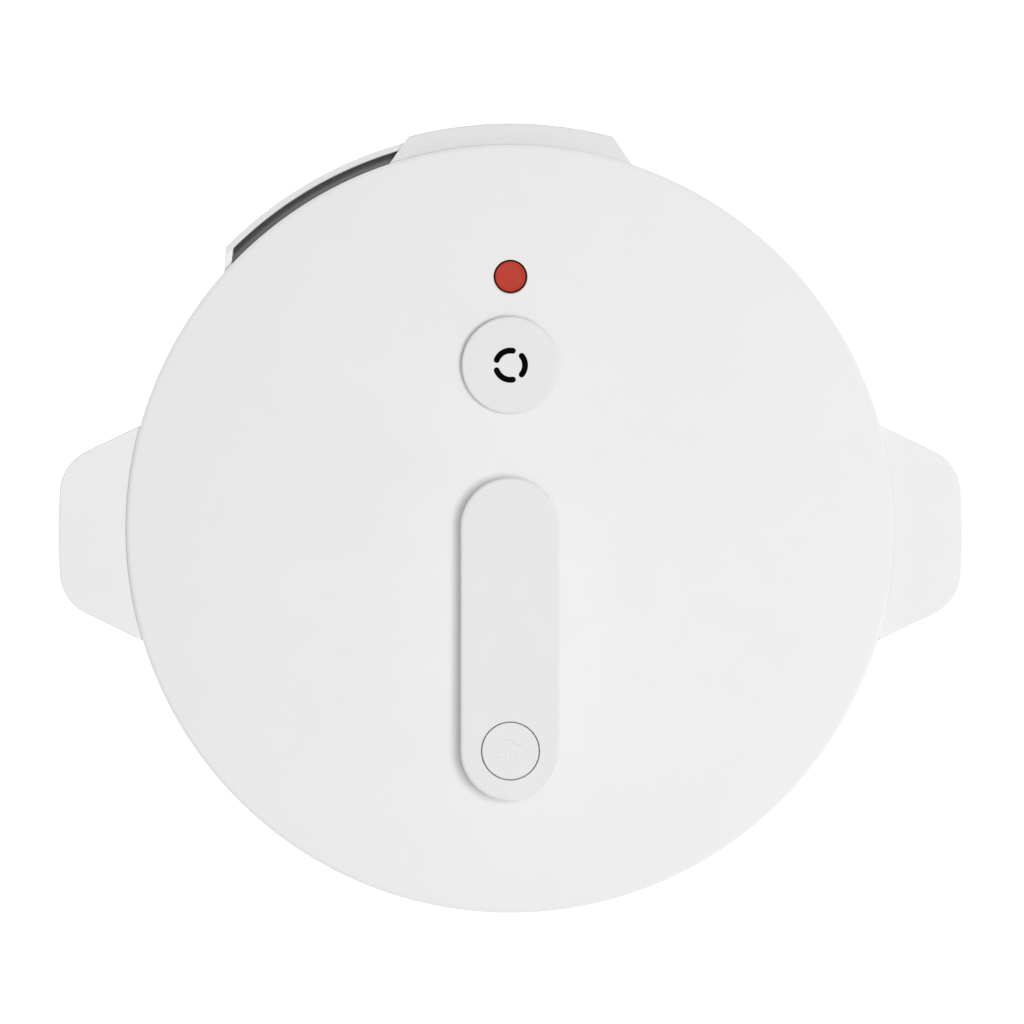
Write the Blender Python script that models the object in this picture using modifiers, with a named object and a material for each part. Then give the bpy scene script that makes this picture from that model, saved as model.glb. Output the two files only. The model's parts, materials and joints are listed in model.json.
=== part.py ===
"""Electric pressure cooker with a twist-lock lid, as a bench-strippable assembly.

Metres, +Z up, standing on the XY plane. +X is the cooker's right, -Y its control panel, +Y its rear.
Every radius and plan position below is measured from the cooker's own axis, on which the lid turns.
The axis stands a little in front of the origin, because only the rear guide tab breaks the lid's circle.
"""

import math

import bmesh
import bpy
from mathutils import Matrix, Vector

# ---------------------------------------------------------------- driving dimensions
SEGMENTS = 48
INNER_SEGMENTS = 30
FINE_SEGMENTS = 20
GAP = 0.0003

LID_R = 0.1630
LID_TOP = 0.2700
DOME_DROP = 0.0080
DOME_R = 0.1580
LID_RIM_BOTTOM = 0.2591
LID_SKIRT_BOTTOM = 0.2310
LID_SKIRT_R = 0.1592
COVER_WALL = 0.0025
LID_TURN_DEG = 28.0

TAB_R = 0.1721
WALL_R = 0.1700
WALL_INNER_R = 0.1674
WALL_TOP = 0.2520
AXIS_Y = -(TAB_R - LID_R) / 2

BODY_R = 0.1580
BODY_TOP = 0.2015
BODY_WALL = 0.0026
COLLAR_FLANGE = 0.2293
RIM_R = 0.1626
RIM_TOP = 0.2585
HANDLE_REACH = 0.1917
WING_TOP = 0.2584
WING_BOTTOM = 0.2370
WING_Y = -0.0013

POT_R = 0.1180
POT_RIM = 0.2215
POT_FLOOR = 0.0853
POT_BASE = 0.0823

GRIP_R = 0.0210
GRIP_TOP = 0.3020
GRIP_HALF = 0.04725
GRIP_Y = -0.04665
BUTTON_Y = GRIP_Y - GRIP_HALF
BUTTON_R = 0.0120
BUTTON_TRAVEL = 0.0035

VALVE_Y = 0.0693
CAP_R = 0.0206
CAP_TOP = 0.2820
SLOT_R = 0.0062
SLOT_HALF_WIDTH = 0.0012
FLOAT_Y = 0.1070
FLOAT_R = 0.0065
FLOAT_HOLE_R = 0.0071

LUGS = 6
RING_LUG_HALF_DEG = 14.0
LID_LUG_HALF_DEG = 13.0

LEVER_PIVOT_Y = (BUTTON_Y + VALVE_Y) / 2
LEVER_PIVOT_Z = 0.2580

FOOT_HEIGHT = 0.0083
FOOT_PLACES = {
    "front_left": (-0.074, -0.074),
    "front_right": (0.074, -0.074),
    "rear_left": (-0.074, 0.074),
    "rear_right": (0.074, 0.074),
}
BASE_PLATE_Z = 0.0086

PANEL_HALF_LENGTH = 0.0480
PANEL_R = 0.0270
PANEL_Z = 0.1180
INLET_Z = 0.0480

MATERIALS = {
    "white_plastic": ((0.86, 0.86, 0.855), 0.42, 0.0),
    "dark_plastic": ((0.045, 0.045, 0.048), 0.50, 0.0),
    "red_plastic": ((0.55, 0.075, 0.045), 0.45, 0.0),
    "steel": ((0.62, 0.62, 0.63), 0.28, 1.0),
    "aluminium": ((0.72, 0.72, 0.73), 0.40, 1.0),
    "pot_coating": ((0.20, 0.19, 0.18), 0.35, 0.0),
    "silicone": ((0.78, 0.79, 0.78), 0.55, 0.0),
    "rubber": ((0.06, 0.06, 0.06), 0.80, 0.0),
    "panel_gloss": ((0.015, 0.016, 0.018), 0.08, 0.0),
    "circuit_board": ((0.03, 0.17, 0.08), 0.45, 0.0),
    "brass": ((0.72, 0.53, 0.22), 0.30, 1.0),
    "lead_sleeve": ((0.70, 0.71, 0.72), 0.60, 0.0),
}


# ---------------------------------------------------------------- scene
def clear_scene():
    for obj in list(bpy.data.objects):
        bpy.data.objects.remove(obj, do_unlink=True)


def new_collection(name):
    collection = bpy.data.collections.new(name)
    bpy.context.scene.collection.children.link(collection)
    return collection


clear_scene()
PARTS = new_collection("pressure_cooker")
CUTTERS = new_collection("cutters")
AXIS = bpy.data.objects.new("cooker_axis", None)
PARTS.objects.link(AXIS)
AXIS.location = (0, AXIS_Y, 0)


def material(slot):
    if slot in bpy.data.materials:
        return bpy.data.materials[slot]
    colour, roughness, metallic = MATERIALS[slot]
    made = bpy.data.materials.new(slot)
    made.use_nodes = True
    shader = made.node_tree.nodes["Principled BSDF"]
    shader.inputs["Base Color"].default_value = (*colour, 1)
    shader.inputs["Roughness"].default_value = roughness
    shader.inputs["Metallic"].default_value = metallic
    return made


def place(name, data, slot, location=(0, 0, 0), rotation=(0, 0, 0)):
    """A part with that material, or a cutter where slot is None, on the cooker's axis."""
    obj = bpy.data.objects.new(name, data)
    obj.parent = AXIS
    obj.location = location
    obj.rotation_euler = rotation
    if slot is None:
        CUTTERS.objects.link(obj)
        obj.hide_render = True
        obj.display_type = "WIRE"
    else:
        PARTS.objects.link(obj)
        data.materials.append(material(slot))
    return obj


# ---------------------------------------------------------------- outlines, in plan
def polar(radius, degrees, centre=(0, 0)):
    angle = math.radians(degrees)
    return centre[0] + radius * math.cos(angle), centre[1] + radius * math.sin(angle)


def arc(centre, radius, start, end, steps):
    return [polar(radius, start + (end - start) * i / steps, centre) for i in range(steps + 1)]


def circle(radius, steps, centre=(0, 0)):
    return arc(centre, radius, 0, 360, steps)[:-1]


def stadium(radius, half_length, steps=10):
    """A stadium whose straight sides run along X."""
    return arc((half_length, 0), radius, -90, 90, steps) + arc((-half_length, 0), radius, 90, 270, steps)


def rectangle(width, depth, centre=(0, 0)):
    x, y = width / 2, depth / 2
    corners = ((-x, -y), (x, -y), (x, y), (-x, y))
    return [(centre[0] + a, centre[1] + b) for a, b in corners]


def arc_slot(radius, half_width, middle, half_angle, steps=6):
    """A slot with round ends along an arc about the origin."""
    first, last = middle - half_angle, middle + half_angle
    outer = arc((0, 0), radius + half_width, first, last, steps)
    inner = arc((0, 0), radius - half_width, last, first, steps)
    end_cap = arc(polar(radius, last), half_width, last, last + 180, 4)[1:-1]
    start_cap = arc(polar(radius, first), half_width, first + 180, first + 360, 4)[1:-1]
    return outer + end_cap + inner + start_cap


def castellated(inner, outer, half_angle, outward):
    """A ring's toothed edge: teeth reach outer if outward, and otherwise inner."""
    tooth, root = (outer, inner) if outward else (inner, outer)
    points = []
    for k in range(LUGS):
        middle = 90 + 360 * k / LUGS
        points += arc((0, 0), tooth, middle - half_angle, middle + half_angle, 3)
        points += arc((0, 0), root, middle + half_angle, middle + 360 / LUGS - half_angle, 4)
    return points


# ---------------------------------------------------------------- shapes
def turned(name, profile, slot, location=(0, 0, 0), segments=SEGMENTS):
    """A profile of (radius, height) turned about its own Z. It closes on itself unless it starts on the axis."""
    mesh = bpy.data.meshes.new(name)
    points = [(r, 0, z) for r, z in profile]
    edges = [(i, i + 1) for i in range(len(points) - 1)]
    if profile[0][0] > 0:
        edges.append((len(points) - 1, 0))
    mesh.from_pydata(points, edges, [])
    obj = place(name, mesh, slot, location)
    screw = obj.modifiers.new("Turn", "SCREW")
    screw.steps = screw.render_steps = segments
    screw.use_merge_vertices = True
    screw.merge_threshold = 0.00001
    return obj


def plate(name, outlines, bottom, top, slot, location=(0, 0, 0), rotation=(0, 0, 0)):
    """Flat outlines, the first filled and the others holes, from bottom to top along local Z."""
    curve = bpy.data.curves.new(name, "CURVE")
    curve.dimensions = "2D"
    curve.fill_mode = "BOTH"
    curve.extrude = (top - bottom) / 2
    for outline in outlines:
        spline = curve.splines.new("POLY")
        spline.points.add(len(outline) - 1)
        for point, (x, y) in zip(spline.points, outline):
            point.co = (x, y, 0, 1)
        spline.use_cyclic_u = True
    source = bpy.data.objects.new(name + "_outline", curve)
    CUTTERS.objects.link(source)
    graph = bpy.context.evaluated_depsgraph_get()
    mesh = bpy.data.meshes.new_from_object(source.evaluated_get(graph))
    bpy.data.objects.remove(source)
    bpy.data.curves.remove(curve)
    made = bmesh.new()
    made.from_mesh(mesh)
    bmesh.ops.remove_doubles(made, verts=made.verts, dist=1e-6)
    bmesh.ops.recalc_face_normals(made, faces=made.faces)
    bmesh.ops.translate(made, verts=made.verts, vec=(0, 0, (top + bottom) / 2))
    made.to_mesh(mesh)
    made.free()
    mesh.materials.clear()
    return place(name, mesh, slot, location, rotation)


def cylinder(name, radius, bottom, top, slot, location=(0, 0, 0), rotation=(0, 0, 0), segments=FINE_SEGMENTS):
    made = bmesh.new()
    bmesh.ops.create_cone(
        made, cap_ends=True, segments=segments, radius1=radius, radius2=radius, depth=top - bottom
    )
    bmesh.ops.translate(made, verts=made.verts, vec=(0, 0, (top + bottom) / 2))
    mesh = bpy.data.meshes.new(name)
    made.to_mesh(mesh)
    made.free()
    return place(name, mesh, slot, location, rotation)


def box(name, size, slot, location):
    made = bmesh.new()
    bmesh.ops.create_cube(made, size=1)
    bmesh.ops.scale(made, verts=made.verts, vec=size)
    mesh = bpy.data.meshes.new(name)
    made.to_mesh(mesh)
    made.free()
    return place(name, mesh, slot, location)


def stretched(name, profile, half_length, slot, location, segments):
    """A turned profile pulled apart along Y at its middle, so that its plan is a stadium."""
    made = bmesh.new()
    points = [made.verts.new((r, 0, z)) for r, z in profile]
    for a, b in zip(points, points[1:]):
        made.edges.new((a, b))
    half_step = math.pi / segments
    bmesh.ops.rotate(made, verts=made.verts, cent=(0, 0, 0), matrix=Matrix.Rotation(half_step, 3, "Z"))
    bmesh.ops.spin(
        made, geom=made.verts[:] + made.edges[:], cent=(0, 0, 0), axis=(0, 0, 1),
        angle=2 * math.pi, steps=segments, use_merge=True,
    )
    bmesh.ops.remove_doubles(made, verts=made.verts, dist=1e-6)
    on_axis = [v for v in made.verts if abs(v.co.x) < 1e-7 and abs(v.co.y) < 1e-7]
    bmesh.ops.translate(made, verts=[v for v in made.verts if v.co.y > 1e-7], vec=(0, half_length, 0))
    bmesh.ops.translate(made, verts=[v for v in made.verts if v.co.y < -1e-7], vec=(0, -half_length, 0))
    bmesh.ops.dissolve_verts(made, verts=on_axis)
    bmesh.ops.recalc_face_normals(made, faces=made.faces)
    mesh = bpy.data.meshes.new(name)
    made.to_mesh(mesh)
    made.free()
    return place(name, mesh, slot, location)


def smooth_route(points, steps):
    """Points read from a Catmull-Rom curve through a lead's own points."""
    ends = [Vector(p) for p in points]
    ends = [2 * ends[0] - ends[1], *ends, 2 * ends[-1] - ends[-2]]
    route = []
    for a, b, c, d in zip(ends, ends[1:], ends[2:], ends[3:]):
        for i in range(steps):
            t = i / steps
            route.append(
                0.5 * (2 * b + (c - a) * t + (2 * a - 5 * b + 4 * c - d) * t**2 + (3 * b - a - 3 * c + d) * t**3)
            )
    return [*route, ends[-2]]


def wire(name, points, radius, slot, location=(0, 0, 0)):
    curve = bpy.data.curves.new(name, "CURVE")
    curve.dimensions = "3D"
    curve.bevel_depth = radius
    curve.bevel_resolution = 2
    curve.use_fill_caps = True
    spline = curve.splines.new("POLY")
    spline.points.add(len(points) - 1)
    for point, co in zip(spline.points, points):
        point.co = (*co, 1)
    return place(name, curve, slot, location)


def coil(radius, bottom, top, turns, steps_per_turn=12):
    """The centreline of a compression spring, with both ends lying flat."""
    count = turns * steps_per_turn
    points = []
    for i in range(count + 1):
        share = i / count
        rise = min(max((share - 0.1) / 0.8, 0), 1)
        x, y = polar(radius, 360 * turns * share)
        points.append((x, y, bottom + (top - bottom) * rise))
    return points


def boolean(obj, other, operation):
    modifier = obj.modifiers.new(operation.title(), "BOOLEAN")
    modifier.operation = operation
    modifier.object = other


def bevel(obj, width, segments=2):
    modifier = obj.modifiers.new("Bevel", "BEVEL")
    modifier.width = width
    modifier.segments = segments
    modifier.limit_method = "ANGLE"
    modifier.angle_limit = math.radians(50)


def dome(radius, lift=0.0):
    return LID_TOP + lift - DOME_DROP * (radius / DOME_R) ** 2


# ---------------------------------------------------------------- base: housing
def make_body_shell():
    fillet = arc((0.1305, 0.0375), 0.0240, 0, -80, 3)
    inner_fillet = arc((0.1305, 0.0375), 0.0240 - BODY_WALL, -80, 0, 3)
    outer = [(BODY_R, BODY_TOP), (0.1560, 0.0900), *fillet]
    inner = [*inner_fillet, (0.1560 - BODY_WALL, 0.0900), (BODY_R - BODY_WALL, BODY_TOP)]
    shell = turned("body_shell", outer + inner, "white_plastic")
    window = plate(
        "panel_window", [stadium(PANEL_R + GAP, PANEL_HALF_LENGTH)], 0.120, 0.175, None,
        (0, 0, PANEL_Z), (math.pi / 2, 0, 0),
    )
    boolean(shell, window, "DIFFERENCE")
    boolean(shell, box("inlet_window", (0.0312, 0.04, 0.0212), None, (0, 0.155, INLET_Z)), "DIFFERENCE")


def sector(name, profile, right, left, slot=None):
    """A turned ring kept between two slanting ends. Each end is its angle at the lid's edge and at the wall."""
    ring = turned(name, profile, slot)
    near, far = LID_R, WALL_R

    def end(angles):
        a, b = Vector(polar(near, angles[0])), Vector(polar(far, angles[1]))
        return tuple(a - 1.2 * (b - a)), tuple(b + 1.5 * (b - a))

    right_in, right_out = end(right)
    left_in, left_out = end(left)
    middle = (right[0] + left[0]) / 2
    outline = [
        right_in, right_out, polar(0.195, (right[0] + middle) / 2), polar(0.195, (left[0] + middle) / 2),
        left_out, left_in, polar(0.150, middle + 8), polar(0.150, middle - 8),
    ]
    mask = plate(name + "_mask", [outline], 0.190, 0.270, None)
    boolean(ring, mask, "INTERSECT")
    return ring


TROUGH_RIGHT = (72.9, 75.9)
TROUGH_LEFT = (138.2, 135.3)
HOLLOW_LEFT = (136.6, 133.6)
TAB_RIGHT = (71.5, 74.5)
TAB_LEFT = (108.4, 105.4)
TAB_PATH_RIGHT = (69.2, 69.2)
TAB_PATH_LEFT = (138.6, 138.6)


def shifted(angles, degrees):
    return tuple(a + degrees for a in angles)


def make_body_collar():
    ring = [
        (RIM_R - 0.0004, RIM_TOP), (RIM_R, RIM_TOP - 0.0004), (RIM_R, 0.2275), (BODY_R, 0.2225),
        (BODY_R, BODY_TOP + 0.0005), (BODY_R - BODY_WALL, BODY_TOP + 0.0005), (BODY_R - BODY_WALL, COLLAR_FLANGE),
        (0.1600, COLLAR_FLANGE), (0.1600, RIM_TOP),
    ]
    collar = turned("body_collar", ring, "white_plastic")
    bulge = sector(
        "trough_bulge",
        [
            (WALL_R, WALL_TOP), (WALL_R, 0.2375), (0.1630, 0.2276), (0.1573, 0.2219), (0.1560, 0.2219),
            (0.1560, COLLAR_FLANGE), (0.1600, COLLAR_FLANGE), (0.1600, WALL_TOP),
        ],
        TROUGH_RIGHT, TROUGH_LEFT,
    )
    hollow = sector(
        "trough_hollow",
        [
            (WALL_INNER_R, 0.2620), (WALL_INNER_R, 0.2386), (0.1615, 0.2300), (0.1560, 0.2245), (0.1530, 0.2245),
            (0.1530, 0.2620),
        ],
        shifted(TROUGH_RIGHT, 1.1), HOLLOW_LEFT,
    )
    tab_path = sector(
        "tab_path", [(0.1660, 0.2620), (0.1660, WALL_TOP), (0.1590, WALL_TOP), (0.1590, 0.2620)],
        TAB_PATH_RIGHT, TAB_PATH_LEFT,
    )
    boolean(collar, tab_path, "DIFFERENCE")
    boolean(collar, bulge, "UNION")
    boolean(collar, hollow, "DIFFERENCE")


def make_rim_tray():
    tray = turned(
        "rim_tray",
        [
            (0.1350, 0.2290), (0.1350, 0.2192), (0.1528, 0.2192), (0.1528, 0.2272),
            (0.1550, 0.2272), (0.1550, 0.2168), (0.1332, 0.2168), (0.1332, 0.2290),
        ],
        "dark_plastic",
    )
    trough = sector(
        "tray_trough",
        [
            (0.1671, 0.2464), (0.1671, 0.2446), (0.1650, 0.2480), (0.1630, 0.2498), (0.1616, 0.2498),
            (0.1616, 0.2312), (0.1560, 0.2256), (0.1534, 0.2256), (0.1534, 0.2270), (0.1560, 0.2270),
            (0.1604, 0.2314), (0.1604, 0.2513), (0.1634, 0.2513), (0.1656, 0.2496),
        ],
        shifted(TROUGH_RIGHT, 1.3), shifted(HOLLOW_LEFT, -0.2),
    )
    boolean(tray, trough, "UNION")


def make_side_handle(name, side):
    corner = (0.1710, 0.0163)
    outline = [(0.1500, 0.0488), (0.1563, 0.0459)]
    outline += arc(corner, 0.0203, 65, 5, 6)
    outline += [(HANDLE_REACH, 0.0)]
    outline += [(x, -y) for x, y in reversed(outline[:-1])]
    outline = [(side * x, y + WING_Y) for x, y in outline]
    wing = plate(name, [outline], WING_BOTTOM, WING_TOP, "white_plastic")
    bevel(wing, 0.0014, 1)
    seat = cylinder(name + "_seat", RIM_R + 0.0004, 0.22, 0.27, None, segments=SEGMENTS)
    boolean(wing, seat, "DIFFERENCE")
    recess = [(0.1640, 0.0330), (0.1735, 0.0290), *arc((0.1700, 0.0110), 0.0155, 55, 0, 3)]
    recess += [(x, -y) for x, y in reversed(recess)]
    recess = [(side * x, y + WING_Y) for x, y in recess]
    boolean(wing, plate(name + "_recess", [recess], 0.2300, 0.2527, None), "DIFFERENCE")


def make_bottom_cover():
    cover = turned(
        "bottom_cover",
        [
            (0, 0.0112), (0.1240, 0.0112), (0.1240, 0.0210), (0.1262, 0.0210),
            (0.1262, 0.0112), (0.1334, 0.0112), (0.1334, 0.0094), (0.1326, BASE_PLATE_Z), (0, BASE_PLATE_Z),
        ],
        "dark_plastic", segments=INNER_SEGMENTS,
    )
    for k in range(6):
        half = 0.016 if k in (0, 5) else 0.022
        y = 0.009 * (k - 2.5)
        slot = plate(f"vent_{k}", [stadium(0.0016, half, 2)], 0.005, 0.015, None, (0, y, 0))
        boolean(cover, slot, "DIFFERENCE")


def make_feet():
    for place_name, (x, y) in FOOT_PLACES.items():
        turned(
            "foot_" + place_name,
            [(0, FOOT_HEIGHT), (0.0110, FOOT_HEIGHT), (0.0110, 0.0030), (0.0095, 0), (0, 0)],
            "rubber", (x, y, 0), 16,
        )


def make_bottom_screws():
    places = {"left": (-0.112, 0), "right": (0.112, 0), "rear": (0, 0.112), "front": (0, -0.112)}
    for name, (x, y) in places.items():
        turned(
            "bottom_screw_" + name,
            [(0, 0.0084), (0.0034, 0.0084), (0.0034, 0.0072), (0.0026, 0.0062), (0, 0.0062)],
            "steel", (x, y, 0), 12,
        )


# ---------------------------------------------------------------- base: lock ring, pot and heater
def make_locking_ring():
    ring = turned(
        "locking_ring",
        [
            (0.1312, 0.2306), (0.1312, 0.2164), (0.1500, 0.2164), (0.1500, 0.2148),
            (0.1312, 0.2148), (0.1312, 0.2050), (0.1296, 0.2050), (0.1296, 0.2178),
            (0.1246, 0.2178), (0.1246, 0.2194), (0.1296, 0.2194), (0.1296, 0.2306),
        ],
        "steel", segments=INNER_SEGMENTS,
    )
    lugs = plate(
        "ring_lugs", [circle(0.1310, INNER_SEGMENTS), castellated(0.1246, 0.1300, RING_LUG_HALF_DEG, False)],
        0.2280, 0.2302, None,
    )
    boolean(ring, lugs, "UNION")


def make_inner_housing():
    turned(
        "inner_housing",
        [
            (0.1272, 0.2165), (0.1272, 0.0560), (0.1190, 0.0480), (0.0340, 0.0480),
            (0.0340, 0.0492), (0.1185, 0.0492), (0.1260, 0.0565), (0.1260, 0.2165),
        ],
        "aluminium", segments=INNER_SEGMENTS,
    )


def make_inner_pot():
    turned(
        "inner_pot",
        [
            (0, POT_FLOOR), (0.1070, POT_FLOOR), *arc((0.1070, 0.0963), 0.0110, -60, 0, 2),
            (POT_R, 0.2205), (0.1190, POT_RIM), (0.1272, POT_RIM), (0.1278, 0.2209), (0.1278, 0.2197),
            (0.1200, 0.2197), (0.1198, 0.0963), *arc((0.1070, 0.0963), 0.0128, 0, -60, 2)[1:],
            (0.1060, POT_BASE), (0, POT_BASE),
        ],
        "pot_coating", segments=INNER_SEGMENTS,
    )


def make_heating_plate():
    turned(
        "heating_plate",
        [
            (0.0170, 0.0820), (0.0920, 0.0820), (0.0960, 0.0800), (0.0960, 0.0740), (0.0900, 0.0720),
            (0.0610, 0.0720), (0.0590, 0.0660), (0.0510, 0.0660), (0.0490, 0.0720), (0.0170, 0.0720),
        ],
        "aluminium", segments=INNER_SEGMENTS,
    )
    for k in range(3):
        x, y = polar(0.0780, 30 + 120 * k)
        cylinder(f"plate_post_{k + 1}", 0.0045, 0.0495, 0.0717, "steel", (x, y, 0), segments=12)


def make_sensor():
    turned(
        "sensor_holder",
        [
            (0.0200, 0.0545), (0.0200, 0.0518), (0.0400, 0.0518), (0.0400, 0.0495),
            (0.0040, 0.0495), (0.0040, 0.0518), (0.0180, 0.0518), (0.0180, 0.0545),
        ],
        "dark_plastic", segments=FINE_SEGMENTS,
    )
    turned(
        "sensor_cap",
        [
            (0, 0.0820), (0.0125, 0.0820), (0.0140, 0.0806), (0.0140, 0.0728), (0.0034, 0.0728),
            (0.0034, 0.0470), (0, 0.0470),
        ],
        "aluminium", segments=FINE_SEGMENTS,
    )
    wire("sensor_spring", coil(0.0085, 0.0528, 0.0718, 4, 8), 0.0006, "steel")


# ---------------------------------------------------------------- base: panel and electrics
def make_control_panel():
    slope = 0.0006
    fascia = turned(
        "control_fascia",
        [
            (0.1574 + slope, 0.160), (0.1557 + slope, 0.080), (0.1527, 0.080), (0.1544, 0.160),
        ],
        "panel_gloss", segments=72,
    )
    mask = plate(
        "fascia_mask", [stadium(PANEL_R, PANEL_HALF_LENGTH)], 0.120, 0.175, None,
        (0, 0, PANEL_Z), (math.pi / 2, 0, 0),
    )
    boolean(fascia, mask, "INTERSECT")
    box("display_module", (0.046, 0.006, 0.020), "dark_plastic", (0, -0.1455, PANEL_Z + 0.004))
    box("control_board", (0.096, 0.0016, 0.042), "circuit_board", (0, -0.1414, PANEL_Z))


def make_power_electronics():
    box("power_board", (0.100, 0.070, 0.0016), "circuit_board", (0.0, 0.020, 0.0250))
    box("transformer", (0.026, 0.022, 0.018), "dark_plastic", (-0.028, 0.012, 0.0352))
    cylinder("thermal_fuse", 0.0030, -0.012, 0.012, "aluminium", (0.078, 0, 0.0525), (0, math.pi / 2, 0), 12)


def make_power_inlet():
    inlet = plate(
        "power_inlet", [rectangle(0.0300, 0.0200)], -0.1562, -0.1305, "dark_plastic",
        (0, 0, INLET_Z), (math.pi / 2, 0, 0),
    )
    corner = 0.003
    flange_points = []
    for k, (sx, sy) in enumerate(((1, 1), (-1, 1), (-1, -1), (1, -1))):
        flange_points += arc((sx * 0.016, sy * 0.0105), corner, 90 * k, 90 * k + 90, 3)
    flange = plate(
        "inlet_flange", [flange_points], -0.1576, -0.1557, None,
        (0, 0, INLET_Z), (math.pi / 2, 0, 0),
    )
    boolean(inlet, flange, "UNION")
    shaped = [
        (-0.012, -0.008), (0.012, -0.008), (0.012, 0.0035), (0.0075, 0.008), (-0.0075, 0.008), (-0.012, 0.0035),
    ]
    cavity = plate(
        "inlet_cavity", [shaped], -0.170, -0.1370, None,
        (0, 0, INLET_Z), (math.pi / 2, 0, 0),
    )
    boolean(inlet, cavity, "DIFFERENCE")
    for name, x, z in (("live", -0.0050, -0.0025), ("neutral", 0.0050, -0.0025), ("earth", 0, 0.0035)):
        pin = box("inlet_pin_" + name, (0.0020, 0.0150, 0.0040), "brass", (x, 0.1448, INLET_Z + z))
        bevel(pin, 0.0005, 1)


def make_leads():
    mains = [
        (-0.010, 0.1298, 0.0480), (-0.0105, 0.124, 0.0470), (-0.012, 0.114, 0.0420), (-0.020, 0.096, 0.0330),
        (-0.026, 0.066, 0.0290), (-0.026, 0.048, 0.0286),
    ]
    wire("mains_lead", smooth_route(mains, 3), 0.0022, "lead_sleeve")
    heater = [(0.030, 0.010, 0.0285), (0.028, -0.010, 0.0330), (0.014, -0.028, 0.0430), (0.006, -0.030, 0.0460)]
    wire("heater_lead", smooth_route(heater, 4), 0.0016, "lead_sleeve")
    panel = [
        (0, -0.1384, 0.1020), (0, -0.1372, 0.0900), (0, -0.1372, 0.0600), (0, -0.1180, 0.0400),
        (0, -0.0600, 0.0285), (0, -0.0100, 0.0282),
    ]
    wire("panel_lead", smooth_route(panel, 3), 0.0016, "lead_sleeve")


# ---------------------------------------------------------------- lid: shells
def make_lid_cover():
    outer_r = (0, 0.050, 0.095, 0.130)
    edge = arc((LID_R - 0.0012, 0.2604), 0.0012, 80, 0, 2)
    outer = [(r, dome(r)) for r in outer_r] + edge
    outer += [(LID_R, LID_RIM_BOTTOM + 0.0004), (LID_R - 0.0004, LID_RIM_BOTTOM), (LID_SKIRT_R, LID_RIM_BOTTOM)]
    outer += [(LID_SKIRT_R, LID_SKIRT_BOTTOM + 0.0006), (LID_SKIRT_R - 0.0006, LID_SKIRT_BOTTOM)]
    inner = [(0.1572, LID_SKIRT_BOTTOM), (0.1572, 0.2586), (0.1550, 0.2598)]
    inner += [(r, dome(r, -COVER_WALL)) for r in reversed(outer_r)]
    cover = turned("lid_cover", outer + inner, "white_plastic")
    holes = {
        "float_hole": (0, FLOAT_Y, FLOAT_HOLE_R),
        "valve_well": (0, VALVE_Y, 0.0150),
        "stem_hole": (0, BUTTON_Y, 0.0052),
        "handle_screw_hole_left": (-0.0100, GRIP_Y, 0.0024),
        "handle_screw_hole_right": (0.0100, GRIP_Y, 0.0024),
    }
    for name, (x, y, radius) in holes.items():
        boolean(cover, cylinder(name, radius, 0.255, 0.280, None, (x, y, 0), segments=16), "DIFFERENCE")


def make_lid_underring():
    turned(
        "lid_underring",
        [
            (0.1314, 0.2480), (0.1314, 0.2344), (0.1568, 0.2344), (0.1568, 0.2320),
            (0.1294, 0.2320), (0.1294, 0.2480),
        ],
        "white_plastic",
    )


def make_rear_guide_tab():
    sector(
        "rear_guide_tab",
        [
            (LID_SKIRT_R + 0.0004, 0.2587), (LID_R, 0.2587), (LID_R, 0.2564), (0.1665, 0.2551), (0.1704, 0.2544),
            (0.1716, 0.2540), (TAB_R, 0.2531), (TAB_R, 0.2440), (0.1707, 0.2440), (0.1707, 0.2527),
            (LID_SKIRT_R + 0.0004, 0.2527),
        ],
        TAB_RIGHT, TAB_LEFT, "white_plastic",
    )


def make_inner_lid():
    lid = turned(
        "inner_lid",
        [
            (0, 0.2500), (0.0600, 0.2486), (0.1000, 0.2460), (0.1160, 0.2430), (0.1224, 0.2370), (0.1224, 0.2249),
            (0.1209, 0.2249), (0.1209, 0.2364), (0.1152, 0.2416), (0.1000, 0.2445), (0.0600, 0.2471), (0, 0.2485),
        ],
        "steel", segments=INNER_SEGMENTS,
    )
    lugs = plate(
        "lid_lugs", [castellated(0.1217, 0.1282, LID_LUG_HALF_DEG, True), circle(0.1212, INNER_SEGMENTS)],
        0.2251, 0.2273, None,
    )
    boolean(lid, lugs, "UNION")
    holes = {
        "float_bore": (0, FLOAT_Y, 0.0030),
        "pipe_bore": (0, VALVE_Y, 0.0038),
        "screw_bore_left": (-0.0100, GRIP_Y, 0.0024),
        "screw_bore_right": (0.0100, GRIP_Y, 0.0024),
    }
    for name, (x, y, radius) in holes.items():
        boolean(lid, cylinder(name, radius, 0.235, 0.260, None, (x, y, 0), segments=16), "DIFFERENCE")


def make_seals():
    turned(
        "sealing_ring",
        [
            (0.1205, 0.2353), (0.1205, 0.2218), (0.1156, 0.2218), (0.1156, 0.2236),
            (0.1182, 0.2246), (0.1182, 0.2326), (0.1156, 0.2334), (0.1156, 0.2353),
        ],
        "silicone", segments=INNER_SEGMENTS,
    )
    wire_section = [polar(0.0012, -60 * k, (0.1139, 0.2285)) for k in range(6)]
    turned("ring_rack", wire_section, "steel", segments=INNER_SEGMENTS)


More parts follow.
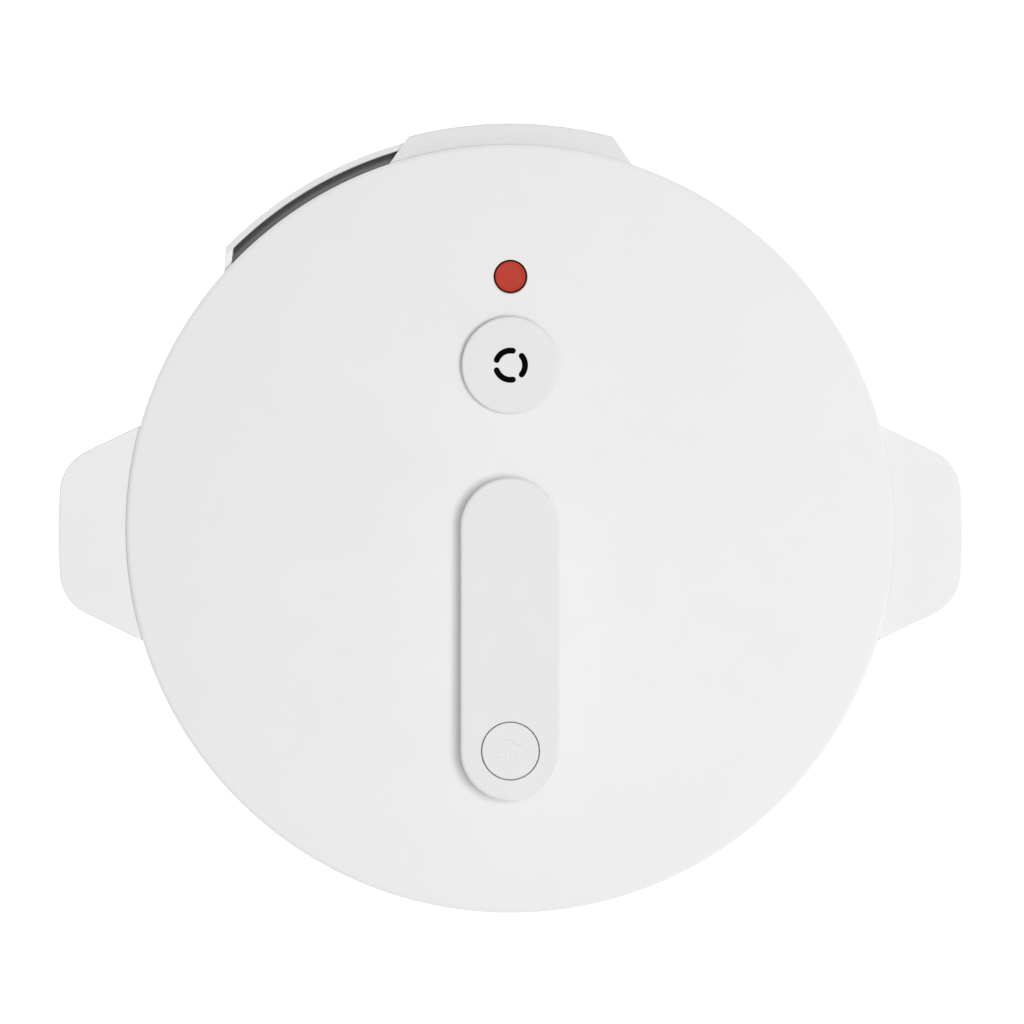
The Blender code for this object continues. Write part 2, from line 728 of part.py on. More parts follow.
# ---------------------------------------------------------------- lid: handle and release button
def make_handle_grip():
    outside = [
        (0, GRIP_TOP), (GRIP_R - 0.0014, GRIP_TOP), (GRIP_R - 0.0004, GRIP_TOP - 0.0004), (GRIP_R, GRIP_TOP - 0.0014),
        (GRIP_R, 0.2955), (0.0192, 0.2895), (0.0176, 0.2830), (0.0172, 0.2770), (0.0182, 0.2710), (0.0190, 0.2600),
    ]
    inside = [
        (0.0164, 0.2600), (0.0156, 0.2710), (0.0146, 0.2770), (0.0150, 0.2830), (0.0166, 0.2895),
        (0.0182, 0.2955), (0.0182, 0.2992), (0, 0.2992),
    ]
    grip = stretched("handle_grip", outside + inside, GRIP_HALF, "white_plastic", (0, GRIP_Y, 0), 20)
    under = turned(
        "dome_seat",
        [(r, dome(r, GAP)) for r in (0, 0.050, 0.095, 0.130)] + [(0.155, 0.2624), (0.155, 0.240), (0, 0.240)],
        None,
    )
    boolean(grip, under, "DIFFERENCE")
    hole = cylinder("button_hole", BUTTON_R + 0.00035, 0.295, 0.310, None, (0, BUTTON_Y, 0), segments=32)
    boolean(grip, hole, "DIFFERENCE")


def make_handle_core():
    core = plate(
        "handle_core", [stadium(0.0136, GRIP_HALF, 8)], 0.2715, 0.2745, "dark_plastic",
        (0, GRIP_Y, 0), (0, 0, math.pi / 2),
    )
    tube = cylinder("guide_tube", 0.0062, 0.2730, 0.2830, None, (0, BUTTON_Y, 0), segments=16)
    boolean(core, tube, "UNION")
    for name, (x, y, radius) in {
        "guide_bore": (0, BUTTON_Y, 0.0046),
        "core_bore_left": (-0.0100, GRIP_Y, 0.0016),
        "core_bore_right": (0.0100, GRIP_Y, 0.0016),
    }.items():
        boolean(core, cylinder(name, radius, 0.265, 0.290, None, (x, y, 0), segments=16), "DIFFERENCE")


def make_handle_screws():
    for name, x in {"left": -0.0100, "right": 0.0100}.items():
        turned(
            "handle_screw_" + name,
            [
                (0, 0.2736), (0.0012, 0.2736), (0.0012, 0.2712), (0.0019, 0.2712), (0.0019, 0.2468), (0.0042, 0.2468),
                (0.0042, 0.2452), (0.0030, 0.2440), (0, 0.2440),
            ],
            "steel", (x, GRIP_Y, 0), 12,
        )


def make_release_button():
    turned(
        "release_button",
        [
            (0, GRIP_TOP), (BUTTON_R - 0.0004, GRIP_TOP), (BUTTON_R, GRIP_TOP - 0.0004), (BUTTON_R, 0.2960),
            (0.0040, 0.2960), (0.0040, 0.2626), (0, 0.2626),
        ],
        "white_plastic", (0, BUTTON_Y, 0), 32,
    )
    wire("button_spring", coil(0.0068, 0.2838, 0.2952, 4, 8), 0.0005, "steel", (0, BUTTON_Y, 0))


def make_release_lever():
    tip = VALVE_Y - LEVER_PIVOT_Y
    outline = [
        (-0.0040, -tip - 0.0035), (0.0040, -tip - 0.0035), (0.0040, tip - 0.0130), (0.0106, tip - 0.0090),
        (0.0106, tip + 0.0060), (0.0068, tip + 0.0060), (0.0068, tip - 0.0070), (-0.0068, tip - 0.0070),
        (-0.0068, tip + 0.0060), (-0.0106, tip + 0.0060), (-0.0106, tip - 0.0090), (-0.0040, tip - 0.0130),
    ]
    pivot = (0, LEVER_PIVOT_Y, LEVER_PIVOT_Z)
    lever = plate("release_lever", [outline], -0.0025, 0.0010, "steel", pivot)
    rib = box("lever_rib", (0.0040, 2 * tip - 0.016, 0.0050), None, (0, LEVER_PIVOT_Y - 0.0095, LEVER_PIVOT_Z + 0.0015))
    boolean(lever, rib, "UNION")
    bore = cylinder("lever_bore", 0.0018, -0.02, 0.02, None, pivot, (0, math.pi / 2, 0), 12)
    boolean(lever, bore, "DIFFERENCE")


def make_lever_pivot():
    x, y, z = 0, LEVER_PIVOT_Y, LEVER_PIVOT_Z
    bracket = box("lever_bracket", (0.0180, 0.0120, 0.0120), "steel", (x, y, 0.2563))
    boolean(bracket, box("bracket_gap", (0.0110, 0.0200, 0.0120), None, (x, y, 0.2583)), "DIFFERENCE")
    bore = cylinder("bracket_bore", 0.0017, -0.02, 0.02, None, (x, y, z), (0, math.pi / 2, 0), 12)
    boolean(bracket, bore, "DIFFERENCE")
    cylinder("lever_pin", 0.0014, -0.0105, 0.0105, "steel", (x, y, z), (0, math.pi / 2, 0), 12)


# ---------------------------------------------------------------- lid: valves
def make_steam_valve():
    at = (0, VALVE_Y, 0)
    turned(
        "steam_pipe",
        [
            (0.0034, 0.2570), (0.0034, 0.2457), (0.0085, 0.2457), (0.0085, 0.2437), (0.0034, 0.2437),
            (0.0034, 0.2410), (0.0016, 0.2410), (0.0016, 0.2570),
        ],
        "steel", at, 16,
    )
    turned(
        "pipe_nut",
        [(0.0075, 0.2532), (0.0075, 0.2492), (0.0037, 0.2492), (0.0037, 0.2532)], "steel", at, 6 * 3,
    )
    turned(
        "anti_block_shield",
        [
            (0, 0.2378), (0.0127, 0.2378), (0.0127, 0.2425), (0.0140, 0.2425), (0.0140, 0.2375),
            (0.0130, 0.2365), (0, 0.2365),
        ],
        "steel", at, FINE_SEGMENTS,
    )
    turned(
        "pressure_weight",
        [
            (0, 0.2700), (0.0045, 0.2700), (0.0045, 0.2682), (0.0092, 0.2682), (0.0092, 0.2655), (0.0045, 0.2655),
            (0.0045, 0.2622), (0.0120, 0.2622), (0.0120, 0.2598), (0.0060, 0.2598), (0.0060, 0.2540),
            (0.0043, 0.2540), (0.0043, 0.2576), (0, 0.2576),
        ],
        "dark_plastic", at, FINE_SEGMENTS,
    )
    cap = turned(
        "valve_cap",
        [
            (0, CAP_TOP), (CAP_R - 0.0010, CAP_TOP), (CAP_R - 0.0003, CAP_TOP - 0.0003), (CAP_R, CAP_TOP - 0.0010),
            (CAP_R, 0.2698), (0.0188, 0.2698), (0.0188, 0.2794), (0.0116, 0.2794), (0.0116, 0.2640),
            (0.0096, 0.2640), (0.0096, 0.2794), (0, 0.2794),
        ],
        "white_plastic", at, 32,
    )
    for k in range(3):
        slot = plate(f"steam_slot_{k}", [arc_slot(SLOT_R, SLOT_HALF_WIDTH, 120 * k, 39.5, 5)], 0.276, 0.285, None, at)
        boolean(cap, slot, "DIFFERENCE")


def make_float_valve():
    at = (0, FLOAT_Y, 0)
    turned(
        "float_pin",
        [
            (0, 0.2662), (FLOAT_R - 0.0006, 0.2662), (FLOAT_R, 0.2656), (FLOAT_R, 0.2580), (0.0024, 0.2580),
            (0.0024, 0.2343), (0, 0.2343),
        ],
        "red_plastic", at, FINE_SEGMENTS,
    )
    turned(
        "float_seal", [(0.0050, 0.2366), (0.0050, 0.2348), (0.0027, 0.2348), (0.0027, 0.2366)], "silicone", at, 16,
    )
    turned(
        "float_guide", [(0.0092, 0.2626), (0.0092, 0.2476), (0.0070, 0.2476), (0.0070, 0.2626)],
        "dark_plastic", at, FINE_SEGMENTS,
    )


def main():
    make_body_shell()
    make_body_collar()
    make_rim_tray()
    make_side_handle("side_handle_right", 1)
    make_side_handle("side_handle_left", -1)
    make_bottom_cover()
    make_feet()
    make_bottom_screws()
    make_locking_ring()
    make_inner_housing()
    make_inner_pot()
    make_heating_plate()
    make_sensor()
    make_control_panel()
    make_power_electronics()
    make_power_inlet()
    make_leads()
    make_lid_cover()
    make_lid_underring()
    make_rear_guide_tab()
    make_inner_lid()
    make_seals()
    make_handle_grip()
    make_handle_core()
    make_handle_screws()
    make_release_button()
    make_release_lever()
    make_lever_pivot()
    make_steam_valve()
    make_float_valve()


main()
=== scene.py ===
"""Looks for the electric pressure cooker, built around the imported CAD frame. Metres, +Z up."""
import json
import math

import bmesh
import bpy
import numpy as np
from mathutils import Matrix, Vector


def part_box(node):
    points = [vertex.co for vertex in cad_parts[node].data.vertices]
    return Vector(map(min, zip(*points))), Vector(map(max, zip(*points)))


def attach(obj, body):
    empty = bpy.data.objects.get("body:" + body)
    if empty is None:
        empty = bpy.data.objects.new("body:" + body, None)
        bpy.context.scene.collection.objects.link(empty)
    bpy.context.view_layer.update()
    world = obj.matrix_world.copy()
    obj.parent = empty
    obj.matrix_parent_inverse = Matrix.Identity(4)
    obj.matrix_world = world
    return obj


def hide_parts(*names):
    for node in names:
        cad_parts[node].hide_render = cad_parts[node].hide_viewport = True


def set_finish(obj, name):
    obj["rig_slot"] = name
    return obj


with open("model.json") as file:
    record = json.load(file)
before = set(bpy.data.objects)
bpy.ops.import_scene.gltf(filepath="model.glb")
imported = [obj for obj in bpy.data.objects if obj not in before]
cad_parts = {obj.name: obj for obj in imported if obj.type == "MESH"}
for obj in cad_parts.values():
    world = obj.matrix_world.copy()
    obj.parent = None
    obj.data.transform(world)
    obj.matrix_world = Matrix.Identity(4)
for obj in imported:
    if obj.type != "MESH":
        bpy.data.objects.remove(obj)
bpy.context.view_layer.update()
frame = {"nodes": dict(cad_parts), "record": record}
NODES = frame["nodes"]
MM = 0.001

# ------------------------------------------------------------------ places read from the CAD
cover_lo, cover_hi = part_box("lid_cover")
AX = (cover_lo.x + cover_hi.x) / 2
AY = (cover_lo.y + cover_hi.y) / 2
LID_TOP = cover_hi.z
STEP_Z = LID_TOP - 0.0109  # where the lid's wall steps in, below its edge
SKIRT_Z = cover_lo.z


def centre_of(node):
    lo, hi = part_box(node)
    return (lo + hi) / 2


VALVE = centre_of("valve_cap")
FLOAT = centre_of("float_pin")
BUTTON = centre_of("release_button")
GRIP = centre_of("handle_grip")
GRIP_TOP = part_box("handle_grip")[1].z
PANEL_Z = centre_of("control_fascia").z
CAP_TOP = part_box("valve_cap")[1].z
DOME_DROP, DOME_R = 8.0 * MM, 158.0 * MM  # the lid's fall from its middle to this radius


def dome(r, lift=0.0):
    """The lid's height at a radius."""
    return LID_TOP + lift - DOME_DROP * (r / DOME_R) ** 2


# ------------------------------------------------------------------ materials
def mat_new(name):
    m = bpy.data.materials.new(name)
    m.use_nodes = True
    return m, m.node_tree.nodes, m.node_tree.links, m.node_tree.nodes["Principled BSDF"]


def coords(nodes):
    return nodes.new("ShaderNodeTexCoord").outputs["Object"]


def noise(nodes, links, scale, detail=3.0, rough=0.5, stretch=None):
    n = nodes.new("ShaderNodeTexNoise")
    n.inputs["Scale"].default_value = scale
    n.inputs["Detail"].default_value = detail
    n.inputs["Roughness"].default_value = rough
    source = coords(nodes)
    if stretch is not None:
        mapping = nodes.new("ShaderNodeMapping")
        mapping.inputs["Scale"].default_value = stretch
        links.new(source, mapping.inputs["Vector"])
        source = mapping.outputs["Vector"]
    links.new(source, n.inputs["Vector"])
    return n.outputs["Fac"]


def ranged(nodes, links, value, low, high, frm=(0.3, 0.7)):
    n = nodes.new("ShaderNodeMapRange")
    n.inputs["From Min"].default_value, n.inputs["From Max"].default_value = frm
    n.inputs["To Min"].default_value, n.inputs["To Max"].default_value = low, high
    links.new(value, n.inputs["Value"])
    return n.outputs["Result"]


def two_tone(nodes, links, value, dark, light, frm=(0.35, 0.65)):
    ramp = nodes.new("ShaderNodeValToRGB")
    ramp.color_ramp.elements[0].position, ramp.color_ramp.elements[1].position = frm
    ramp.color_ramp.elements[0].color = (*dark, 1)
    ramp.color_ramp.elements[1].color = (*light, 1)
    links.new(value, ramp.inputs["Fac"])
    return ramp.outputs["Color"]


def bumps(nodes, links, layers):
    """Bump layers of (height, strength, distance), each laid on the one before."""
    last = None
    for height, strength, distance in layers:
        b = nodes.new("ShaderNodeBump")
        b.inputs["Strength"].default_value = strength
        b.inputs["Distance"].default_value = distance
        links.new(height, b.inputs["Height"])
        if last is not None:
            links.new(last, b.inputs["Normal"])
        last = b.outputs["Normal"]
    return last


def moulded(name, colour, rough, spread=0.05, grain=1900.0, depth=0.00004, tint=0.012, coat=0.0, sss=0.0,
            specular=0.5):
    """Injection-moulded plastic: a spark-eroded grain, uneven gloss and a very faint mottling."""
    m, nodes, links, bsdf = mat_new(name)
    dark = tuple(c * (1 - tint) for c in colour)
    light = tuple(min(1.0, c * (1 + tint)) for c in colour)
    links.new(two_tone(nodes, links, noise(nodes, links, 14.0, 4.0), dark, light), bsdf.inputs["Base Color"])
    links.new(ranged(nodes, links, noise(nodes, links, 55.0, 5.0, 0.6), rough - spread, rough + spread),
              bsdf.inputs["Roughness"])
    fine = noise(nodes, links, grain, 2.0)
    flow = noise(nodes, links, 22.0, 2.0)
    links.new(bumps(nodes, links, [(flow, 0.05, 0.0001), (fine, 0.30, depth)]), bsdf.inputs["Normal"])
    bsdf.inputs["IOR"].default_value = 1.46
    bsdf.inputs["Specular IOR Level"].default_value = specular
    bsdf.inputs["Coat Weight"].default_value = coat
    bsdf.inputs["Coat Roughness"].default_value = 0.12
    if sss:
        bsdf.inputs["Subsurface Weight"].default_value = sss
        bsdf.inputs["Subsurface Scale"].default_value = 0.002
    return m


def brushed(name, colour, rough, stretch=(1, 1, 40), scale=90.0, spread=0.10):
    """Metal with fine drawn lines along one direction."""
    m, nodes, links, bsdf = mat_new(name)
    lines = noise(nodes, links, scale, 4.0, 0.6, stretch)
    links.new(two_tone(nodes, links, lines, tuple(c * 0.90 for c in colour), colour), bsdf.inputs["Base Color"])
    links.new(ranged(nodes, links, lines, rough - spread, rough + spread), bsdf.inputs["Roughness"])
    links.new(bumps(nodes, links, [(lines, 0.25, 0.00005)]), bsdf.inputs["Normal"])
    bsdf.inputs["Metallic"].default_value = 1.0
    return m


def speckled(name, base, speck, rough):
    """Non-stick coating: dark ground with fine pale specks."""
    m, nodes, links, bsdf = mat_new(name)
    cells = nodes.new("ShaderNodeTexVoronoi")
    cells.inputs["Scale"].default_value = 900.0
    links.new(coords(nodes), cells.inputs["Vector"])
    links.new(two_tone(nodes, links, cells.outputs["Distance"], speck, base, (0.05, 0.16)), bsdf.inputs["Base Color"])
    links.new(ranged(nodes, links, noise(nodes, links, 300.0), rough - 0.08, rough + 0.1), bsdf.inputs["Roughness"])
    links.new(bumps(nodes, links, [(cells.outputs["Distance"], 0.2, 0.00005)]), bsdf.inputs["Normal"])
    return m


def woven(name, colour):
    """Braided sleeve over a lead."""
    m, nodes, links, bsdf = mat_new(name)
    wave = nodes.new("ShaderNodeTexWave")
    wave.wave_type, wave.bands_direction = "BANDS", "DIAGONAL"
    wave.inputs["Scale"].default_value = 420.0
    wave.inputs["Distortion"].default_value = 2.0
    links.new(coords(nodes), wave.inputs["Vector"])
    links.new(two_tone(nodes, links, wave.outputs["Fac"], tuple(c * 0.7 for c in colour), colour, (0.2, 0.8)),
              bsdf.inputs["Base Color"])
    links.new(bumps(nodes, links, [(wave.outputs["Fac"], 0.6, 0.0002)]), bsdf.inputs["Normal"])
    bsdf.inputs["Roughness"].default_value = 0.75
    return m


def greyer_below(name, colour, low, z0, z1):
    """A moulded white that turns into the grey low between the heights z1 and z0."""
    m = moulded(name, colour, 0.58, tint=0.003, depth=0.00002, specular=0.35)
    nodes, links = m.node_tree.nodes, m.node_tree.links
    bsdf = next(n for n in nodes if n.type == "BSDF_PRINCIPLED")
    parts = nodes.new("ShaderNodeSeparateXYZ")
    links.new(coords(nodes), parts.inputs["Vector"])
    share = ranged(nodes, links, parts.outputs["Z"], 0.0, 1.0, (z0, z1))
    grain = nodes.new("ShaderNodeMath")
    grain.operation = "MULTIPLY_ADD"
    grain.inputs[1].default_value = 0.02
    links.new(noise(nodes, links, 900.0), grain.inputs[0])
    links.new(share, grain.inputs[2])
    ramp = two_tone(nodes, links, grain.outputs["Value"], (low, low, low), colour, (0.0, 1.0))
    links.new(ramp, bsdf.inputs["Base Color"])
    return m


def tray_painted_light_and_shade(name):
    """The rim tray: dark grey, painted paler towards the lid as painted light and darker at the trough's wall as
    painted shade.
    """
    m, nodes, links, bsdf = mat_new(name)
    offset = nodes.new("ShaderNodeVectorMath")
    offset.operation = "SUBTRACT"
    offset.inputs[1].default_value = (AX, AY, 0)
    links.new(coords(nodes), offset.inputs[0])
    flat = nodes.new("ShaderNodeVectorMath")
    flat.operation = "MULTIPLY"
    flat.inputs[1].default_value = (1, 1, 0)
    links.new(offset.outputs["Vector"], flat.inputs[0])
    reach = nodes.new("ShaderNodeVectorMath")
    reach.operation = "LENGTH"
    links.new(flat.outputs["Vector"], reach.inputs[0])
    # paler grey within 162.4 mm of the axis is painted light near the lid; darker grey beyond 165.5 mm is painted
    # shade at the trough's wall
    share = ranged(nodes, links, reach.outputs["Value"], 0.0, 1.0, (0.1624, 0.1655))
    ramp = two_tone(nodes, links, share, (0.26, 0.26, 0.26), (0.135, 0.135, 0.137), (0.0, 1.0))
    links.new(ramp, bsdf.inputs["Base Color"])
    links.new(ranged(nodes, links, noise(nodes, links, 240.0, 4.0), 0.42, 0.58), bsdf.inputs["Roughness"])
    links.new(bumps(nodes, links, [(noise(nodes, links, 1500.0), 0.4, 0.00005)]), bsdf.inputs["Normal"])
    return m


SATIN = (0.835, 0.835, 0.833)
WHITE = moulded("white_plastic_look", (0.88, 0.88, 0.878), 0.58, tint=0.004, depth=0.00002, specular=0.35)
GRIP_WHITE = greyer_below("grip_white_look", SATIN, 0.76, 0.2992, 0.3012)
CAP_WHITE = greyer_below("cap_white_look", SATIN, 0.77, 0.2795, 0.2812)
WHITE_SATIN = moulded("white_satin_look", SATIN, 0.58, tint=0.003, depth=0.00002, specular=0.35)
# the tab's white is darker than the lid's white: painted shade for the shade the lid's edge casts on the tab
TAB_WHITE_PAINTED_SHADE = moulded("tab_white_painted_shade_look", (0.82, 0.82, 0.818), 0.58, tint=0.004, depth=0.00002, specular=0.35)
DARK = moulded("dark_plastic_look", (0.035, 0.035, 0.037), 0.52, grain=1400.0)
# near black with little gloss: the float guide's dark plastic, and painted shade in the valve cap's slots and the gap
# round the float pin
BLACK_AND_PAINTED_SHADE = moulded("near_black_and_painted_shade_look", (0.002, 0.002, 0.002), 0.9, grain=1400.0, specular=0.05)
RED = moulded("red_plastic_look", (0.52, 0.034, 0.014), 0.55, grain=1200.0, tint=0.05, specular=0.3)
STEEL = brushed("steel_look", (0.60, 0.60, 0.61), 0.28)
ALUMINIUM = brushed("aluminium_look", (0.72, 0.72, 0.73), 0.38, (1, 1, 12), 60.0)
BRASS = brushed("brass_look", (0.76, 0.56, 0.24), 0.25, (1, 8, 1), 200.0, 0.06)
COATING = speckled("pot_coating_look", (0.045, 0.042, 0.040), (0.22, 0.21, 0.20), 0.38)
SILICONE = moulded("silicone_look", (0.70, 0.72, 0.70), 0.50, grain=700.0, sss=0.4)
RUBBER = moulded("rubber_look", (0.018, 0.018, 0.018), 0.78, grain=900.0, depth=0.00008)
GLOSS = moulded("panel_gloss_look", (0.006, 0.0065, 0.008), 0.07, spread=0.02, grain=300.0, depth=0.000004, coat=1.0)
LEGEND = moulded("legend_look", (0.72, 0.74, 0.76), 0.45, grain=900.0)
BOARD = moulded("circuit_board_look", (0.02, 0.14, 0.06), 0.35, grain=420.0, depth=0.0001, tint=0.12)
SLEEVE = woven("lead_sleeve_look", (0.62, 0.63, 0.64))
TRAY_PAINTED_LIGHT_AND_SHADE = tray_painted_light_and_shade("rim_tray_painted_light_and_shade_look")
BY_SLOT = {
    "white_plastic": WHITE, "dark_plastic": DARK, "red_plastic": RED, "steel": STEEL, "aluminium": ALUMINIUM,
    "pot_coating": COATING, "silicone": SILICONE, "rubber": RUBBER, "panel_gloss": GLOSS, "circuit_board": BOARD,
    "brass": BRASS, "lead_sleeve": SLEEVE,
}


# ------------------------------------------------------------------ mesh helpers
def cos_deg(a):
    return math.cos(math.radians(a))


def sin_deg(a):
    return math.sin(math.radians(a))


def link(name, mesh, material=None):
    obj = bpy.data.objects.new(name, mesh)
    bpy.context.scene.collection.objects.link(obj)
    if material is not None:
        mesh.materials.append(material)
    return obj


def smooth(obj, degrees=32):
    obj.data.shade_smooth()
    obj.data.set_sharp_from_angle(angle=math.radians(degrees))
    return obj


def fillet(points, radii, steps=6):
    """A polyline whose inner corners are rounded to the radii given, 0 for none."""
    out = [points[0]]
    for i in range(1, len(points) - 1):
        a, b, c = (np.array(points[j], float) for j in (i - 1, i, i + 1))
        r = radii[i]
        u, v = (a - b), (c - b)
        lu, lv = np.linalg.norm(u), np.linalg.norm(v)
        if r <= 0 or lu < 1e-9 or lv < 1e-9:
            out.append(tuple(b))
            continue
        u, v = u / lu, v / lv
        half = math.acos(max(-1, min(1, float(u @ v)))) / 2
        if half > math.radians(88):
            out.append(tuple(b))
            continue
        cut = min(r / math.tan(half), 0.49 * lu, 0.49 * lv)
        r = cut * math.tan(half)
        mid = (u + v) / np.linalg.norm(u + v)
        centre = b + mid * (r / math.sin(half))
        p, q = b + u * cut, b + v * cut
        a0, a1 = math.atan2(*(p - centre)[::-1]), math.atan2(*(q - centre)[::-1])
        turn = (a1 - a0 + math.pi) % (2 * math.pi) - math.pi
        out += [tuple(centre + r * np.array([math.cos(a0 + turn * k / steps), math.sin(a0 + turn * k / steps)]))
                for k in range(steps + 1)]
    out.append(points[-1])
    return out


def spline(points, per=6):
    """A smooth open line through the points."""
    p = [np.array(q, float) for q in points]
    p = [2 * p[0] - p[1], *p, 2 * p[-1] - p[-2]]
    out = []
    for a, b, c, d in zip(p, p[1:], p[2:], p[3:]):
        for i in range(per):
            t = i / per
            out.append(tuple(0.5 * (2 * b + (c - a) * t + (2 * a - 5 * b + 4 * c - d) * t * t
                                    + (3 * b - a - 3 * c + d) * t ** 3)))
    return out + [tuple(p[-2])]


def lathe(name, profile, segments, material, centre=None, closed=False, degrees=32):
    """A line of (radius, height) turned about a vertical axis. Points at radius 0 become poles."""
    cx, cy = (AX, AY) if centre is None else centre
    verts, rings = [], []
    for r, z in profile:
        if r < 1e-7:
            rings.append([len(verts)])
            verts.append((cx, cy, z))
            continue
        rings.append(list(range(len(verts), len(verts) + segments)))
        verts += [(cx + r * math.cos(2 * math.pi * k / segments), cy + r * math.sin(2 * math.pi * k / segments), z)
                  for k in range(segments)]
    faces = []
    pairs = list(zip(rings, rings[1:])) + ([(rings[-1], rings[0])] if closed else [])
    for a, b in pairs:
        for k in range(segments):
            n = (k + 1) % segments
            if len(a) == 1 and len(b) == 1:
                continue
            if len(a) == 1:
                faces.append((a[0], b[k], b[n]))
            elif len(b) == 1:
                faces.append((a[k], b[0], a[n]))
            else:
                faces.append((a[k], b[k], b[n], a[n]))
    mesh = bpy.data.meshes.new(name)
    mesh.from_pydata(verts, [], faces)
    return smooth(outward(link(name, mesh, material)), degrees)


def outward(obj):
    """Merges doubled points and turns every face outwards."""
    made = bmesh.new()
    made.from_mesh(obj.data)
    bmesh.ops.remove_doubles(made, verts=made.verts, dist=1e-7)
    bmesh.ops.recalc_face_normals(made, faces=made.faces)
    made.to_mesh(obj.data)
    made.free()
    return obj


def loft(name, rings, material, caps=(True, True), degrees=32):
    """Closed outlines of equal count, given as lists of 3-D points, joined in order."""
    count = len(rings[0])
    verts = [tuple(p) for ring in rings for p in ring]
    faces = [(i * count + k, i * count + (k + 1) % count, (i + 1) * count + (k + 1) % count, (i + 1) * count + k)
             for i in range(len(rings) - 1) for k in range(count)]
    if caps[0]:
        faces.append(tuple(range(count))[::-1])
    if caps[1]:
        faces.append(tuple((len(rings) - 1) * count + k for k in range(count)))
    mesh = bpy.data.meshes.new(name)
    mesh.from_pydata(verts, [], faces)
    return smooth(outward(link(name, mesh, material)), degrees)


def cut(obj, cutter, operation="DIFFERENCE", degrees=32):
    """Applies a Boolean and removes the cutter."""
    bpy.context.view_layer.update()
    mod = obj.modifiers.new("cut", "BOOLEAN")
    mod.operation, mod.solver, mod.object = operation, "EXACT", cutter
    graph = bpy.context.evaluated_depsgraph_get()
    mesh = bpy.data.meshes.new_from_object(obj.evaluated_get(graph))
    obj.modifiers.remove(mod)
    old, obj.data = obj.data, mesh
    if not mesh.materials and old.materials:
        mesh.materials.append(old.materials[0])
    bpy.data.objects.remove(cutter)
    return smooth(obj, degrees)


def stadium(radius, half, z, steps=28, centre=(0.0, 0.0)):
    """A stadium along Y, counter-clockwise, at one height."""
    pts = []
    for i in range(steps + 1):
        a = math.pi * i / steps
        pts.append((centre[0] + radius * math.cos(a), centre[1] + half + radius * math.sin(a), z))
    for i in range(steps + 1):
        a = math.pi + math.pi * i / steps
        pts.append((centre[0] + radius * math.cos(a), centre[1] - half + radius * math.sin(a), z))
    return pts


def stand_for(obj, slot, body, *nodes):
    """Gives a piece its slot and its body, and the CAD nodes it stands for."""
    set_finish(obj, slot)
    if nodes:
        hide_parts(*nodes)
    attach(obj, body)
    return obj


# ------------------------------------------------------------------ lid
def make_lid():
    top = [(r * MM, dome(r * MM)) for r in np.linspace(0, 160.4, 22)]
    # the edge is a soft arc from a slope of 84 degrees to one of 35, then a small arc to upright
    soft, small, start = 2.4 * MM, 0.35 * MM, 161.235 * MM
    steep, slack = 84, 35
    mid_r, mid_z = start - soft * cos_deg(steep), dome(start) - soft * sin_deg(steep)
    edge = [(mid_r + soft * cos_deg(a), mid_z + soft * sin_deg(a)) for a in np.linspace(steep, slack, 11)]
    end_r, end_z = edge[-1][0] - small * cos_deg(slack), edge[-1][1] - small * sin_deg(slack)
    edge += [(end_r + small * cos_deg(a), end_z + small * sin_deg(a)) for a in (24, 12, 0)]
    under = fillet([(163.0 * MM, 260.0 * MM), (163.0 * MM, STEP_Z), (159.2 * MM, STEP_Z), (159.2 * MM, SKIRT_Z),
                    (157.2 * MM, SKIRT_Z), (157.2 * MM, 258.6 * MM), (154.6 * MM, 259.9 * MM)],
                   [0, 0.3 * MM, 0.3 * MM, 0.5 * MM, 0.4 * MM, 0.6 * MM, 0], 8)[1:-1]
    rim = edge + under
    inner = [(r * MM, dome(r * MM, -2.5 * MM)) for r in np.linspace(152, 0, 8)]
    lid = lathe("lid_cover_skin", top + rim + inner, 288, WHITE)
    z = dome(FLOAT.y - AY)
    flare = [(0, z + 4 * MM), (8.3 * MM, z + 4 * MM), (7.45 * MM, z + 0.05 * MM), (7.2 * MM, z - 0.22 * MM),
             (7.1 * MM, z - 0.5 * MM), (7.1 * MM, z - 6 * MM), (0, z - 6 * MM)]
    cut(lid, lathe("float_cut", flare, 64, None, (FLOAT.x, FLOAT.y)))
    for name, at, radius, sides in (("well_cut", VALVE, 15 * MM, 64), ("stem_cut", BUTTON, 5.2 * MM, 32)):
        z = dome(at.y - AY)
        plug = [(0, z + 5 * MM), (radius, z + 5 * MM), (radius, z - 6 * MM), (0, z - 6 * MM)]
        cut(lid, lathe(name, plug, sides, None, (at.x, at.y)))
    stand_for(lid, "white_plastic", "lid", "lid_cover")


def slanted(section, right, left, columns, name, material, degrees=32):
    """A section of (radius, height) swept round the axis between two upright slanting planes.
    right and left are each a plane's angles at the lid's edge and at the trough wall's outer face."""
    near, far = 163.0 * MM, 170.0 * MM

    def angle_at(r, angles):
        """Where the plane's line in plan crosses the circle of radius r, as an angle."""
        a = near * np.array([cos_deg(angles[0]), sin_deg(angles[0])])
        b = far * np.array([cos_deg(angles[1]), sin_deg(angles[1])])
        d = b - a
        qa, qb, qc = d @ d, 2 * (a @ d), a @ a - r * r
        t = (-qb + math.sqrt(max(0.0, qb * qb - 4 * qa * qc))) / (2 * qa)
        p = a + t * d
        return math.atan2(p[1], p[0])

    ends = [(angle_at(r, right), angle_at(r, left)) for r, _ in section]
    rings = []
    for i in range(columns + 1):
        t = i / columns
        rings.append([(AX + r * math.cos(e[0] + (e[1] - e[0]) * t), AY + r * math.sin(e[0] + (e[1] - e[0]) * t), z)
                      for (r, z), e in zip(section, ends)])
    return loft(name, rings, material, degrees=degrees)


